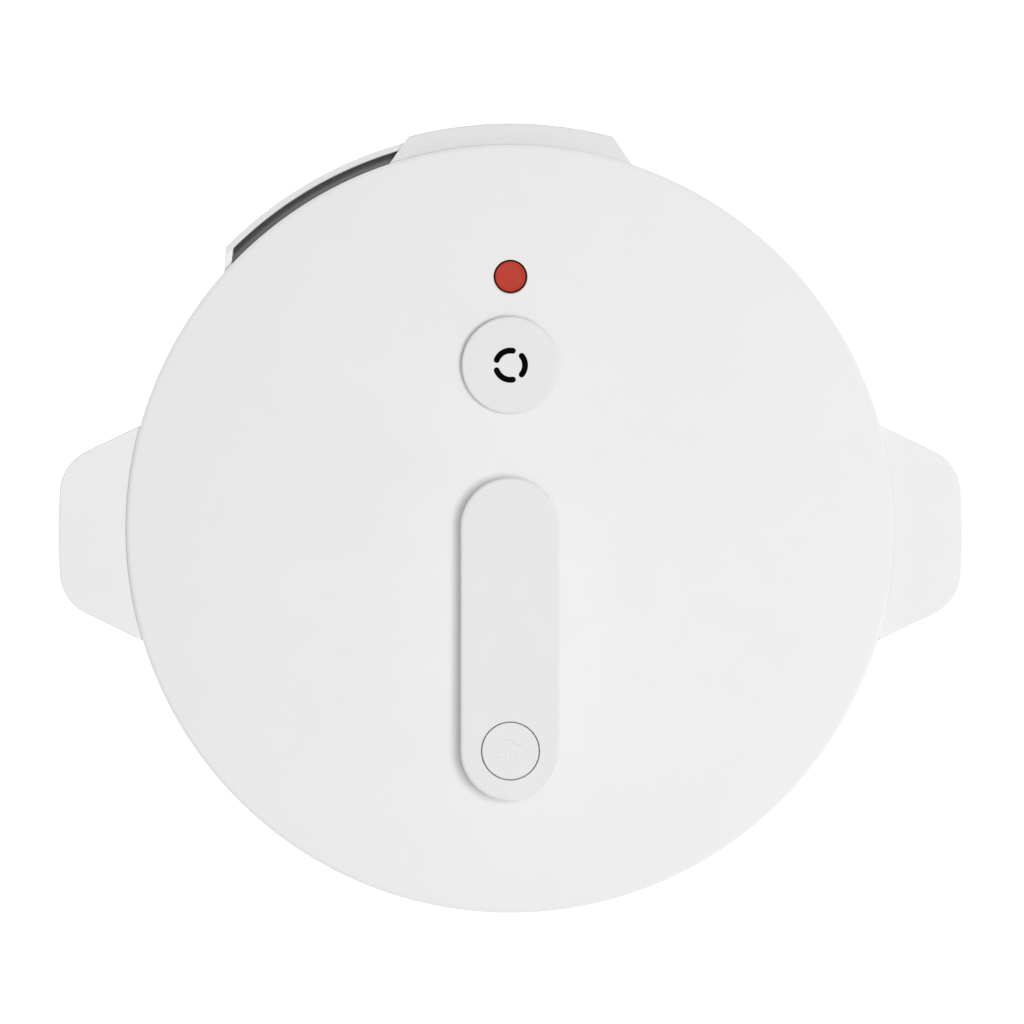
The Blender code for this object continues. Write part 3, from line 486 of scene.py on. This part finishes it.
def edge_bevel(obj, width, segments, chosen, hard=30):
    """Rounds the sharp edges that chosen(a, b) accepts; chosen returns a share of the width."""
    mesh = obj.data
    made = bmesh.new()
    made.from_mesh(mesh)
    layer = made.edges.layers.float.get("bevel_weight_edge") or made.edges.layers.float.new("bevel_weight_edge")
    for e in made.edges:
        if len(e.link_faces) == 2 and e.calc_face_angle(0) > math.radians(hard):
            e[layer] = chosen(e.verts[0].co, e.verts[1].co)
    made.to_mesh(mesh)
    made.free()
    mod = obj.modifiers.new("edges", "BEVEL")
    mod.width, mod.segments, mod.limit_method = width, segments, "WEIGHT"
    mod.use_clamp_overlap = True
    mod.miter_outer = "MITER_ARC"
    bpy.context.view_layer.update()
    graph = bpy.context.evaluated_depsgraph_get()
    new = bpy.data.meshes.new_from_object(obj.evaluated_get(graph))
    obj.modifiers.remove(mod)
    obj.data = new
    return smooth(obj, hard)


# Slanting ends, each as its angles at the lid's edge and at the trough wall's outer face.
TROUGH_RIGHT, TROUGH_LEFT, HOLLOW_LEFT = (72.9, 75.9), (138.2, 135.3), (136.6, 133.6)
TAB_RIGHT, TAB_LEFT = (71.5, 74.5), (108.4, 105.4)
PATH_RIGHT, PATH_LEFT = (69.2, 69.2), (138.6, 138.6)  # the cut-down stretch of the rim that the tab runs in


def make_tab():
    section = fillet([(r * MM, z * MM) for r, z in (
        (166.0, 252.7), (159.7, 252.7), (159.7, 258.6), (162.9, 258.6), (162.9, 256.5), (164.4, 255.85),
        (166.4, 255.2), (168.5, 254.75), (172.1, 254.3), (172.1, 244.0), (170.7, 244.0), (170.7, 252.7),
        (166.0, 252.7))],
        [r * MM for r in (0, 0, 0.3, 0.3, 0.2, 2, 2, 2, 0.9, 0.5, 0.4, 0.3, 0)], 6)[:-1]
    tab = slanted(section, TAB_RIGHT, TAB_LEFT, 96, "rear_guide_tab_skin", TAB_WHITE_PAINTED_SHADE)

    def chosen(a, b):
        inside = max(math.hypot(p.x - AX, p.y - AY) for p in (a, b)) < 163.5 * MM
        return 0.15 if inside or min(a.z, b.z) < 252.75 * MM else 1.0

    edge_bevel(tab, 1.4 * MM, 6, chosen, 40)
    stand_for(tab, "white_plastic", "lid", "rear_guide_tab")


def make_grip():
    side = fillet([(15.0, 302.0), (21.0, 302.0), (21.0, 296.0)], [0, 1.2, 0], 8)[1:-1]
    waist = spline([(21.0, 296.6), (20.4, 292.6), (19.0, 288.0), (17.8, 283.0), (17.4, 278.0), (17.9, 273.5),
                    (18.9, 269.0), (19.6, 263.5)], 5)
    rings = [stadium(r * MM, 47.25 * MM, z * MM, 30, (GRIP.x, GRIP.y)) for r, z in side + waist]
    grip = loft("handle_grip_skin", rings, GRIP_WHITE)
    z = GRIP_TOP
    hole = [(0, z + 3 * MM), (13.6 * MM, z + 3 * MM), (12.62 * MM, z + 0.02 * MM), (12.48 * MM, z - 0.10 * MM),
            (12.44 * MM, z - 0.3 * MM), (12.44 * MM, z - 9 * MM), (0, z - 9 * MM)]
    cut(grip, lathe("button_cut", hole, 96, None, (BUTTON.x, BUTTON.y)))
    stand_for(grip, "white_plastic", "lid", "handle_grip")


def wire(name, path, radius, material):
    """A round stroke along a path."""
    curve = bpy.data.curves.new(name, "CURVE")
    curve.dimensions = "3D"
    curve.bevel_depth, curve.bevel_resolution, curve.use_fill_caps = radius, 4, True
    line = curve.splines.new("POLY")
    line.points.add(len(path) - 1)
    for p, co in zip(line.points, path):
        p.co = (*co, 1)
    source = bpy.data.objects.new(name + "_line", curve)
    bpy.context.scene.collection.objects.link(source)
    graph = bpy.context.evaluated_depsgraph_get()
    mesh = bpy.data.meshes.new_from_object(source.evaluated_get(graph))
    bpy.data.objects.remove(source)
    mesh.materials.clear()
    obj = link(name, mesh, material)
    return smooth(obj, 60)


def join(name, objs):
    """One object from several, keeping the first one's material list."""
    made = bmesh.new()
    for o in objs:
        made.from_mesh(o.data)
    mesh = bpy.data.meshes.new(name)
    made.to_mesh(mesh)
    made.free()
    for m in objs[0].data.materials:
        mesh.materials.append(m)
    for o in objs:
        bpy.data.objects.remove(o)
    return smooth(link(name, mesh), 40)


def arc_line(cx, cy, r, first, last, steps):
    """Points along an arc from one angle to another, both ends included."""
    angles = [first + (last - first) * k / steps for k in range(steps + 1)]
    return [(cx + r * cos_deg(a), cy + r * sin_deg(a)) for a in angles]


def make_button():
    z = GRIP_TOP
    wide, stem = 12.0 * MM, 4 * MM
    face = fillet([(10.6 * MM, z - 0.03 * MM), (wide, z), (wide, z - 4 * MM)], [0, 0.45 * MM, 0], 6)[1:-1]
    body = [(0, z - 0.12 * MM), (stem, z - 0.11 * MM), (8 * MM, z - 0.07 * MM), (10.6 * MM, z - 0.03 * MM), *face,
            (wide, z - 6 * MM), (stem, z - 6 * MM), (stem, z - 39.4 * MM), (0, z - 39.4 * MM)]
    button = lathe("release_button_skin", body, 112, WHITE_SATIN, (BUTTON.x, BUTTON.y))
    stand_for(button, "white_plastic", "button", "release_button")

    # a small cloud, outlined by three arcs, with three strokes below it
    puff = arc_line(-4.2, -0.3, 2.2, 275, 95, 14) + arc_line(-0.6, 1.5, 3.3, 160, 20, 14)
    puff += arc_line(3.9, 0.3, 2.5, 95, -70, 14)
    lines = [puff] + [[(x, -0.6), (x, -3.4 - 0.9 * (k == 1))] for k, x in enumerate((-1.9, 0.3, 2.4))]
    strokes = []
    for k, line in enumerate(lines):
        path = [(BUTTON.x + x * MM, BUTTON.y + (y - 0.2) * MM, z - 0.26 * MM) for x, y in line]
        strokes.append(wire(f"stroke_{k}", path, 0.30 * MM, WHITE_SATIN))
    icon = join("button_steam_mark", strokes)
    stand_for(icon, "white_plastic", "button")


def arc_slot(radius, half_width, middle, half_angle, z, centre, steps=16):
    """The outline of a round-ended slot bent along an arc."""
    first, last = middle - half_angle, middle + half_angle

    def end(a, start):
        return arc_line(radius * cos_deg(a), radius * sin_deg(a), half_width, start, start + 180, 10)[:-1]

    pts = arc_line(0.0, 0.0, radius + half_width, first, last, steps)[:-1] + end(last, last)
    pts += arc_line(0.0, 0.0, radius - half_width, last, first, steps)[:-1] + end(first, first + 180)
    return [(centre[0] + x, centre[1] + y, z) for x, y in pts]


def make_valve():
    z, at = CAP_TOP, (VALVE.x, VALVE.y)
    wide, wall, foot = 20.6 * MM, 18.8 * MM, 269.9 * MM
    rim = fillet([(15 * MM, z - 0.17 * MM), (wide, z - 0.3 * MM), (wide, z - 6 * MM)], [0, 1.0 * MM, 0], 8)[1:-1]
    low = fillet([(wide, z - 8 * MM), (20.2 * MM, foot), (wall, foot)], [0, 0.5 * MM, 0], 4)[1:]
    body = [(0, z), (4 * MM, z - 0.01 * MM), (9 * MM, z - 0.06 * MM), (15 * MM, z - 0.17 * MM), *rim, *low,
            (wall, z - 2.8 * MM), (11.6 * MM, z - 2.8 * MM), (11.6 * MM, 264.0 * MM), (9.6 * MM, 264.0 * MM),
            (9.6 * MM, z - 2.6 * MM), (0, z - 2.6 * MM)]
    cap = lathe("valve_cap_skin", body, 144, CAP_WHITE, at)
    # half widths and heights of a slot, from below the cap's skin to above it, with a softened mouth
    levels = ((1.24, -4.0), (1.24, -0.22), (1.27, -0.12), (1.32, -0.02), (1.6, 1.0))
    for k in range(3):
        rings = [arc_slot(6.2 * MM, w * MM, 120 * k, 39.5, z + dz * MM, at) for w, dz in levels]
        cut(cap, loft(f"slot_cut_{k}", rings, None))
    stand_for(cap, "white_plastic", "valve_cap", "valve_cap")
    # a near-black disc just under the slots: painted shade, so the slots read black
    disc = [(0, z - 2.75 * MM), (9.2 * MM, z - 2.75 * MM), (9.2 * MM, z - 4.2 * MM), (0, z - 4.2 * MM)]
    shade_disc = lathe("valve_slot_liner", fillet(disc, [0, 0.2 * MM, 0.2 * MM, 0]), 64, BLACK_AND_PAINTED_SHADE, at)
    stand_for(shade_disc, "dark_plastic", "valve_cap")


def make_float():
    z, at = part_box("float_pin")[1].z, (FLOAT.x, FLOAT.y)
    lip = fillet([(5.3 * MM, z - 0.22 * MM), (5.75 * MM, z - 0.02 * MM), (6.45 * MM, z), (6.45 * MM, z - 3 * MM)],
                 [0, 0.25 * MM, 0.4 * MM, 0], 5)
    pin = [(0, z - 0.30 * MM), (3 * MM, z - 0.28 * MM), (4.9 * MM, z - 0.24 * MM), *lip, (6.45 * MM, 258 * MM),
           (2.4 * MM, 258 * MM), (2.4 * MM, 234.3 * MM), (0, 234.3 * MM)]
    stand_for(lathe("float_pin_skin", pin, 72, RED, at), "red_plastic", "float", "float_pin")
    # the float guide's own dark plastic, made near black so its ring round the pin is also painted shade of the gap
    sleeve = [(9.2 * MM, 262.6 * MM), (7.06 * MM, 262.8 * MM), (7.06 * MM, z - 0.30 * MM), (6.85 * MM, z - 0.28 * MM),
              (6.68 * MM, z - 0.45 * MM), (6.68 * MM, 247.6 * MM), (9.2 * MM, 247.6 * MM)]
    stand_for(lathe("float_bushing_skin", sleeve, 72, BLACK_AND_PAINTED_SHADE, at, closed=True), "dark_plastic", "lid", "float_guide")


# ------------------------------------------------------------------ base
def shell_r(z):
    """The shell's outer radius above its lower bend."""
    return 156.0 * MM + 2.0 * MM * (z - 0.090) / 0.1115


def make_shell():
    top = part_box("body_shell")[1].z
    bend_r, bend_z = 130.5 * MM, 37.5 * MM

    upper = fillet([(155.5 * MM, top), (shell_r(top), top), (shell_r(0.12), 0.120)], [0, 0.7 * MM, 0], 5)[:-1]
    outer = upper + [(shell_r(0.150), 0.150), (shell_r(0.105), 0.105), (155.95 * MM, 0.090), (155.4 * MM, 0.065)]
    outer += arc_line(bend_r, bend_z, 24 * MM, 0, -80, 14)
    inner = arc_line(bend_r, bend_z, 21.4 * MM, -80, 0, 14)
    inner += [(152.8 * MM, 0.065), (153.35 * MM, 0.090), (155.3 * MM, top - 0.2 * MM)]
    shell = lathe("body_shell_skin", outer + inner, 288, WHITE, closed=True)
    outline = stadium(PANEL_R * MM + 0.35 * MM, PANEL_HALF * MM, 0, 24)
    window = [[(AX + x, y, PANEL_Z + z) for z, x, _ in outline] for y in (-0.180, -0.120)]
    cut(shell, loft("panel_cut", window, None))
    lo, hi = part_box("power_inlet")
    z0, z1, x0 = lo.z + 2.9 * MM, hi.z - 2.9 * MM, 15.6 * MM
    rect = [(-x0, z0), (x0, z0), (x0, z1), (-x0, z1)]
    cut(shell, loft("inlet_cut", [[(AX + x, y, z) for x, z in rect] for y in (0.120, 0.170)], None))
    stand_for(shell, "white_plastic", "base", "body_shell")


def make_collar():
    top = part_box("body_collar")[1].z
    ring = fillet([(155.4 * MM, 215 * MM), (155.4 * MM, 229.3 * MM), (160.0 * MM, 229.3 * MM), (160.0 * MM, top),
                   (162.6 * MM, top), (162.6 * MM, 227.5 * MM), (158.0 * MM, 222.3 * MM), (158.0 * MM, 202.0 * MM),
                   (155.4 * MM, 202.0 * MM), (155.4 * MM, 215 * MM)],
                  [0, 0.3 * MM, 0.5 * MM, 0.3 * MM, 0.6 * MM, 5 * MM, 5 * MM, 0.6 * MM, 0.2 * MM, 0], 6)[:-1]
    collar = lathe("body_collar_skin", ring, 288, WHITE, closed=True)
    path = [(r * MM, z * MM) for r, z in ((159.2, 252.05), (166.0, 252.05), (166.0, 262.0), (159.2, 262.0))]
    cut(collar, slanted(path, PATH_RIGHT, PATH_LEFT, 60, "tab_path", WHITE))
    outer = fillet([(r * MM, z * MM) for r, z in (
        (165.0, 252.0), (167.7, 252.0), (170.0, 251.1), (170.0, 237.5), (163.0, 227.6), (157.3, 221.9),
        (156.2, 221.9), (156.2, 229.2), (160.2, 229.2), (160.2, 252.0), (165.0, 252.0))],
        [0, 0.8 * MM, 0.7 * MM, 5.0 * MM, 7.0 * MM, 0, 0, 0, 0, 0, 0], 7)[:-1]
    bulge = slanted(outer, TROUGH_RIGHT, TROUGH_LEFT, 132, "trough_bulge", WHITE)

    def chosen(a, b):
        return 1.0 if max(a.z, b.z) > 226 * MM else 0.0

    edge_bevel(bulge, 1.0 * MM, 4, chosen, 34)
    cut(collar, bulge, "UNION")
    hollow = [(r * MM, z * MM) for r, z in ((153.0, 262.0), (167.8, 262.0), (167.8, 252.05), (167.4, 251.55),
                                            (167.4, 238.6), (161.5, 230.0), (156.0, 224.5), (153.0, 224.5))]
    hollow_right = [a + 1.1 for a in TROUGH_RIGHT]
    cut(collar, slanted(hollow, hollow_right, HOLLOW_LEFT, 132, "trough_hollow", WHITE))
    stand_for(collar, "white_plastic", "base", "body_collar")


def make_tray():
    ring = fillet([(r * MM, z * MM) for r, z in ((133.2, 229.0), (135.0, 229.0), (135.0, 219.2), (152.8, 219.2),
                                                 (152.8, 227.2), (155.0, 227.2), (155.0, 216.8), (133.2, 216.8))],
                  [0, 0.5 * MM, 1 * MM, 1 * MM, 0.5 * MM, 0.5 * MM, 0, 0], 3)
    tray = lathe("rim_tray_skin", ring, 192, TRAY_PAINTED_LIGHT_AND_SHADE, closed=True)
    cove = fillet([(160.4, 240.0), (160.4, 251.3), (164.6, 251.3), (167.12, 246.4), (167.12, 244.8), (165.0, 247.9),
                   (163.0, 249.8), (161.6, 249.8), (161.6, 231.2), (156.0, 225.6), (153.4, 225.6), (153.4, 227.0),
                   (156.0, 227.0), (160.4, 231.4), (160.4, 240.0)],
                  [0, 0.4, 3.2, 0.3, 0.2, 1.0, 0.5, 0.3, 0.5, 0.5, 0, 0, 0.5, 0.5, 0], 6)[:-1]
    trough = slanted([(r * MM, z * MM) for r, z in cove], [a + 1.3 for a in TROUGH_RIGHT],
                     [a - 0.2 for a in HOLLOW_LEFT], 132, "tray_trough", TRAY_PAINTED_LIGHT_AND_SHADE)
    tray = join("rim_tray_skin_full", [tray, trough])
    tray.name = "rim_tray_skin"
    stand_for(tray, "dark_plastic", "base", "rim_tray")


def make_wing(name, node, side):
    """A side handle, its side 1 for right and -1 for left. Plan sizes are in mm from its own middle line."""
    lo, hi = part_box(node)
    top, bottom = hi.z, lo.z
    mid = (lo.y + hi.y) / 2
    down = (AY - mid) / MM
    root_x, root_y, tip_x, seat_r = 156.3, 45.9, 191.7, 162.65
    corner = arc_line(171.0, 16.3, 20.3, 65.0, 5.0, 18)
    start, last = corner[0], corner[-1]
    half = [(root_x, root_y)]
    half += [(root_x + (start[0] - root_x) * k / 9, root_y + (start[1] - root_y) * k / 9) for k in range(1, 9)]
    half += corner
    half += [(last[0] + (tip_x - last[0]) * math.sin(k / 9 * math.pi / 2), last[1] * (1 - k / 9))
             for k in range(1, 10)]
    outline = half + [(x, -y) for x, y in reversed(half[:-1])]
    ends = [math.degrees(math.asin((sign * root_y - down) / seat_r)) for sign in (-1, 1)]
    seat = [(seat_r * cos_deg(a), seat_r * sin_deg(a) + down) for a in np.linspace(ends[0] + 1.2, ends[1] - 1.2, 15)]
    # the third value is 1 on the free edge, which is rounded, and 0 on the seat, which isn't
    closed = [(x, y, 1.0) for x, y in outline] + [(x, y, 0.0) for x, y in seat]
    count = len(closed)
    normals = []
    for i, (x, y, w) in enumerate(closed):
        a, b = np.array(closed[i - 1][:2]), np.array(closed[(i + 1) % count][:2])
        d = b - a
        n = np.array([-d[1], d[0]])
        n = n / max(np.linalg.norm(n), 1e-9)
        if n @ (np.array([172.0, 0.0]) - np.array([x, y])) < 0:
            n = -n
        normals.append(n * (w if abs(y) < root_y - 0.1 else 0.6 * w))

    def ring(inset, z):
        return [(AX + side * (x + n[0] * inset) * MM, mid + (y + n[1] * inset) * MM, z)
                for (x, y, _), n in zip(closed, normals)]

    rt, rb = 0.7, 3.0
    rings = [ring(1.1, top)]
    rings += [ring(rt * (1 - math.sin(a)), top - rt * (1 - math.cos(a)) * MM) for a in np.linspace(0, math.pi / 2, 8)]
    rings += [ring(rb * (1 - math.cos(a)), bottom + rb * (1 - math.sin(a)) * MM)
              for a in np.linspace(0, math.pi / 2, 8)]
    wing = loft(name, rings, WHITE, degrees=40)
    pocket = fillet([(164.0, -32.0), (173.5, -28.0), (184.0, -19.0), (185.6, 0.0), (184.0, 19.0), (173.5, 28.0),
                     (164.0, 32.0), (163.4, 0.0), (164.0, -32.0)], [0, 5, 6, 4, 6, 5, 0, 0, 0], 5)[1:]
    levels = ((0.0, -3.0), (0.0, 12.0), (0.5, 14.0), (1.7, 15.3), (3.2, 15.7))  # the pocket's insets and heights
    pc = np.array([174.0, 0.0])
    rings = []
    for inset, dz in levels:
        rings.append([(AX + side * (x + (pc[0] - x) * inset / 14) * MM, mid + (y + (pc[1] - y) * inset / 30) * MM,
                       bottom + dz * MM) for x, y in pocket])
    cut(wing, loft(name + "_pocket", rings, None), degrees=40)
    stand_for(wing, "white_plastic", "base", node)


PANEL_R, PANEL_HALF, PANEL_LIFT = 27, 48, 0.60  # mm: end radius, half the straight part, face above the shell


def on_front(x, z, lift):
    """A point over the front of the shell: x across, z up from the panel's middle, lift out from the shell."""
    height = PANEL_Z + z
    r = shell_r(height) + lift
    return AX + x, AY - math.sqrt(r * r - x * x), height


def make_panel():
    """A bent gloss panel: rings of a stadium from its back's middle, round its rim and in to its face's middle."""
    rows = [(inset, -3.4) for inset in (PANEL_R, 18, 9, 0)]
    rows += [(0.0, 0.05), (0.10, 0.32), (0.30, 0.50)]
    rows += [(inset, PANEL_LIFT) for inset in (0.65, 3, 6, 9, 12, 15, 18, 21, 23, 25, PANEL_R)]
    side = np.linspace(-PANEL_HALF, PANEL_HALF, 33)[1:-1]
    rings = []
    for inset, lift in rows:
        r = PANEL_R - inset
        line = [(PANEL_HALF + r * math.cos(a), r * math.sin(a)) for a in np.linspace(-math.pi / 2, math.pi / 2, 33)]
        line += [(x, r) for x in side[::-1]] + [(-x, -z) for x, z in line] + [(x, -r) for x in side]
        rings.append([on_front(x * MM, z * MM, lift * MM) for x, z in line])
    panel = loft("control_fascia_skin", rings, GLOSS, (False, False), 40)
    stand_for(panel, "panel_gloss", "base", "control_fascia")


def ribbon(path, width, closed=False):
    """A flat stroke laid on the panel, as four corner points at each station along it."""
    low, high = PANEL_LIFT - 0.15, PANEL_LIFT + 0.08
    pts = []
    count = len(path)
    for i in range(count if closed else count - 1):
        a, b = np.array(path[i], float), np.array(path[(i + 1) % count], float)
        n = max(1, int(np.linalg.norm(b - a) / 1.2))
        pts += [tuple(a + (b - a) * k / n) for k in range(n)]
    if not closed:
        pts.append(tuple(path[-1]))
    total, stations = len(pts), []
    for i, p in enumerate(pts):
        before = pts[i - 1] if closed or i else p
        after = pts[(i + 1) % total] if closed or i < total - 1 else p
        d = np.array(after, float) - np.array(before, float)
        n = np.array([-d[1], d[0]]) / max(np.linalg.norm(d), 1e-9) * width / 2
        stations.append([on_front((p[0] + s * n[0]) * MM, (p[1] + s * n[1]) * MM, lift * MM)
                         for s, lift in ((1, low), (1, high), (-1, high), (-1, low))])
    return stations, closed


def legend(name, strokes):
    """One piece from a list of ribbons."""
    verts, faces = [], []
    for stations, closed in strokes:
        base, total = len(verts), len(stations)
        verts += [p for station in stations for p in station]
        for i in range(total if closed else total - 1):
            a, b = base + 4 * i, base + 4 * ((i + 1) % total)
            faces += [(a + k, a + (k + 1) % 4, b + (k + 1) % 4, b + k) for k in range(4)]
        if not closed:
            last = base + 4 * (total - 1)
            faces += [(base, base + 1, base + 2, base + 3), (last + 3, last + 2, last + 1, last)]
    mesh = bpy.data.meshes.new(name)
    mesh.from_pydata(verts, [], faces)
    stand_for(smooth(outward(link(name, mesh, LEGEND)), 30), "white_plastic", "base")


def circle(cx, cz, r, steps=36):
    return arc_line(cx, cz, r, 0, 360, steps)[:-1]


def make_legends():
    bars = {"a": (0, 1, 1, 1), "b": (1, 1, 1, 0), "c": (1, 0, 1, -1), "d": (0, -1, 1, -1), "e": (0, 0, 0, -1),
            "f": (0, 1, 0, 0), "g": (0, 0, 1, 0)}
    digits = {"0": "abcdef", "2": "abged", "5": "afgcd"}
    wide, tall, row, lean, gap = 7.0, 6.0, 6.0, 0.10, 0.7  # mm, tall and row are half a digit and its middle's height
    strokes = []
    for left, digit in zip((-20.5, -10.5, 3.0, 13.0), "0025"):
        for bar in digits[digit]:
            x0, z0, x1, z1 = bars[bar]
            a, b = np.array([x0 * wide, row + z0 * tall]), np.array([x1 * wide, row + z1 * tall])
            trim = (b - a) / np.linalg.norm(b - a) * gap
            strokes.append(ribbon([(left + p[0] + lean * (p[1] - row), p[1]) for p in (a + trim, b - trim)], 1.0))
    strokes += [ribbon(circle(-0.2, z, 0.35, 12), 0.7, True) for z in (3.4, 8.6)]
    legend("panel_digits", strokes)

    thin, line, bold = 0.35, 0.5, 0.6
    keys = [ribbon(circle(x, 3.0, 7.2), thin, True) for x in (-58.0, -38.0, 38.0, 58.0)]
    keys += [ribbon([(x + 0.55 * math.sin(t * 2.1), 0.2 + t) for t in np.linspace(0, 5.8, 12)], line)
             for x in (-60.4, -58.0, -55.6)]
    pot = [(-42.0, 3.6), (-42.0, -0.2), (-41.4, -0.9), (-34.6, -0.9), (-34.0, -0.2), (-34.0, 3.6)]
    keys += [ribbon(path, line) for path in (pot, [(-43.0, 4.4), (-33.0, 4.4)], [(-39.2, 6.0), (-36.8, 6.0)])]
    minus, plus = [(35.0, 3.0), (41.0, 3.0)], [(55.0, 3.0), (61.0, 3.0)]
    keys += [ribbon(path, bold) for path in (minus, plus, [(58.0, 0.0), (58.0, 2.6)], [(58.0, 3.4), (58.0, 6.0)])]
    keys.append(ribbon([(-3.0, -17.5), (-3.0, -11.5), (2.6, -14.5)], line, True))
    keys.append(ribbon(circle(0.0, -14.5, 6.2), thin, True))
    keys.append(ribbon([(-17.2, -16.7), (-12.8, -16.7), (-12.8, -12.3), (-17.2, -12.3)], line, True))
    keys.append(ribbon(arc_line(15.0, -14.5, 2.6, 120, 420, 24), line))
    keys.append(ribbon([(15.0, -14.0), (15.0, -10.8)], line))
    legend("panel_key_marks", keys)


def make_bottom():
    z0, z1, wall_z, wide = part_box("bottom_cover")[0].z, 11.2 * MM, 21 * MM, 133.4 * MM
    line = fillet([(0, z1), (124 * MM, z1), (124 * MM, wall_z), (126.2 * MM, wall_z), (126.2 * MM, z1),
                   (wide, z1), (wide, z0), (0, z0)],
                  [0, 0.5 * MM, 0.4 * MM, 0.4 * MM, 0.5 * MM, 0.5 * MM, 0.8 * MM, 0], 4)
    cover = lathe("bottom_cover_skin", line, 192, DARK)
    ribs = []
    for k, r in enumerate((58, 92, 124)):
        near, far, up, down = r * MM, (r + 1.2) * MM, z0 + 0.5 * MM, z0 - 0.5 * MM
        section = fillet([(near, up), (near, down), (far, down), (far, up)], [0, 0.3 * MM, 0.3 * MM, 0], 3)
        ribs.append(lathe(f"rib_{k}", section, 160, DARK, closed=True))
    for k in range(6):
        half = (16 if k in (0, 5) else 22) * MM  # the outer two of the six vents are shorter
        y = AY + 9 * MM * (k - 2.5)
        slot = [[(AX + q[1], y + q[0], z) for q in stadium(w * MM, half, 0, 8)]
                for w, z in ((1.6, 0.020), (1.6, z0 + 0.5 * MM), (2.1, z0 - 0.05 * MM), (2.1, 0.004))]
        cut(cover, loft(f"vent_cut_{k}", slot, None))
    stand_for(cover, "dark_plastic", "base", "bottom_cover")
    stand_for(join("bottom_cover_ribs", ribs), "dark_plastic", "base")
    for node in [n for n in NODES if n.startswith("foot_")]:
        mid, top = centre_of(node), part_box(node)[1].z
        foot = fillet([(0, 0.9 * MM), (5.4 * MM, 0.9 * MM), (6.0 * MM, 0), (9.5 * MM, 0), (10.9 * MM, 3 * MM),
                       (11.0 * MM, top), (0, top)], [0, 0.4 * MM, 0.3 * MM, 1.2 * MM, 1.5 * MM, 0.2 * MM, 0], 5)
        stand_for(lathe(node + "_skin", foot, 72, RUBBER, (mid.x, mid.y)), "rubber", "base", node)
    for node in [n for n in NODES if n.startswith("bottom_screw_")]:
        mid, (lo, hi) = centre_of(node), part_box(node)
        head = fillet([(0, hi.z), (3.4 * MM, hi.z), (3.4 * MM, lo.z + 0.9 * MM), (2.6 * MM, lo.z), (0, lo.z)],
                      [0, 0.1 * MM, 0.5 * MM, 0.4 * MM, 0], 5)
        screw = lathe(node + "_skin", head, 48, STEEL, (mid.x, mid.y))
        bar = [(1.9, 0.35), (-1.9, 0.35), (-1.9, -0.35), (1.9, -0.35)]
        for arm in (bar, [(y, x) for x, y in bar]):
            cross = [[(mid.x + x * MM, mid.y + y * MM, lo.z + dz * MM) for x, y in arm] for dz in (-1.0, 1.1)]
            cut(screw, loft("cross_cut", cross, None))
        stand_for(screw, "steel", "base", node)


make_lid()
make_tab()
make_grip()
make_button()
make_valve()
make_float()
make_shell()
make_collar()
make_tray()
make_wing("side_handle_right_skin", "side_handle_right", 1)
make_wing("side_handle_left_skin", "side_handle_left", -1)
make_panel()
make_legends()
make_bottom()

# ------------------------------------------------------------------ shading of the new pieces and of the CAD nodes
for obj in [o for o in bpy.data.objects if o.type == "MESH" and "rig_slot" in o]:
    even = obj.modifiers.new("even", "WEIGHTED_NORMAL")
    even.keep_sharp, even.weight = True, 60
slot_of = {s["node"]: s["material_slot"] for s in frame["record"]["subparts"]}
for node, obj in NODES.items():
    mesh = obj.data
    mesh.materials.clear()
    mesh.materials.append(BY_SLOT[slot_of[node]])
    if "custom_normal" in mesh.attributes:
        mesh.attributes.remove(mesh.attributes["custom_normal"])
    mesh.shade_smooth()
    weld = obj.modifiers.new("weld", "WELD")
    weld.merge_threshold = 1e-6
    split = obj.modifiers.new("split", "EDGE_SPLIT")
    split.split_angle = math.radians(34)

# ------------------------------------------------------------------ floor, light, camera
floor_mesh = bpy.data.meshes.new("floor")
floor_mesh.from_pydata([(-9, -9, 0), (9, -9, 0), (9, 9, 0), (-9, 9, 0)], [], [(0, 1, 2, 3)])
floor_mat, _, _, bsdf = mat_new("pale_floor")
bsdf.inputs["Base Color"].default_value = (0.86, 0.86, 0.86, 1)
bsdf.inputs["Roughness"].default_value = 0.9
bsdf.inputs["Specular IOR Level"].default_value = 0.1
bsdf.inputs["Emission Color"].default_value = (1, 1, 1, 1)
bsdf.inputs["Emission Strength"].default_value = 0.80
floor = link("floor", floor_mesh, floor_mat)

world = bpy.data.worlds.new("studio")
bpy.context.scene.world = world
world.use_nodes = True
sky = world.node_tree.nodes["Background"]
sky.inputs["Color"].default_value = (1, 1, 1, 1)
sky.inputs["Strength"].default_value = 0.38


def area(name, place, size, power):
    """A round lamp that looks at a point inside the body's upper part."""
    data = bpy.data.lights.new(name, "AREA")
    data.shape, data.size, data.energy = "DISK", size, power
    obj = bpy.data.objects.new(name, data)
    bpy.context.scene.collection.objects.link(obj)
    obj.location = place
    obj.rotation_euler = (Vector((0, 0, 0.25)) - Vector(place)).to_track_quat("-Z", "Y").to_euler()
    obj.visible_camera = False
    return obj


area("key", (0.47, -0.10, 6.00), 0.80, 160)
side = area("side", (1.50, -0.55, 0.95), 0.8, 5.4)  # a fill light: no shadow and no bounced light
side.data.cycles.max_bounces = 0
side.data.use_shadow = False

# a long lens straight above, set so that one pixel of the 1024 covers PX at the height PLANE_Z
LENS, SENSOR, PX, PLANE_Z = 1000.0, 36.0, 0.42410 * MM, 0.262
cam_data = bpy.data.cameras.new("camera")
cam_data.lens, cam_data.sensor_width = LENS, SENSOR
cam_data.clip_end = 100
cam = bpy.data.objects.new("camera", cam_data)
bpy.context.scene.collection.objects.link(cam)
cam.location = (AX + 1.6 * PX, AY + 16.8 * PX, PLANE_Z + 1024 * PX * LENS / SENSOR)
cam.rotation_euler = (0, 0, 0)
bpy.context.scene.camera = cam
bpy.context.scene.view_settings.view_transform = "Standard"
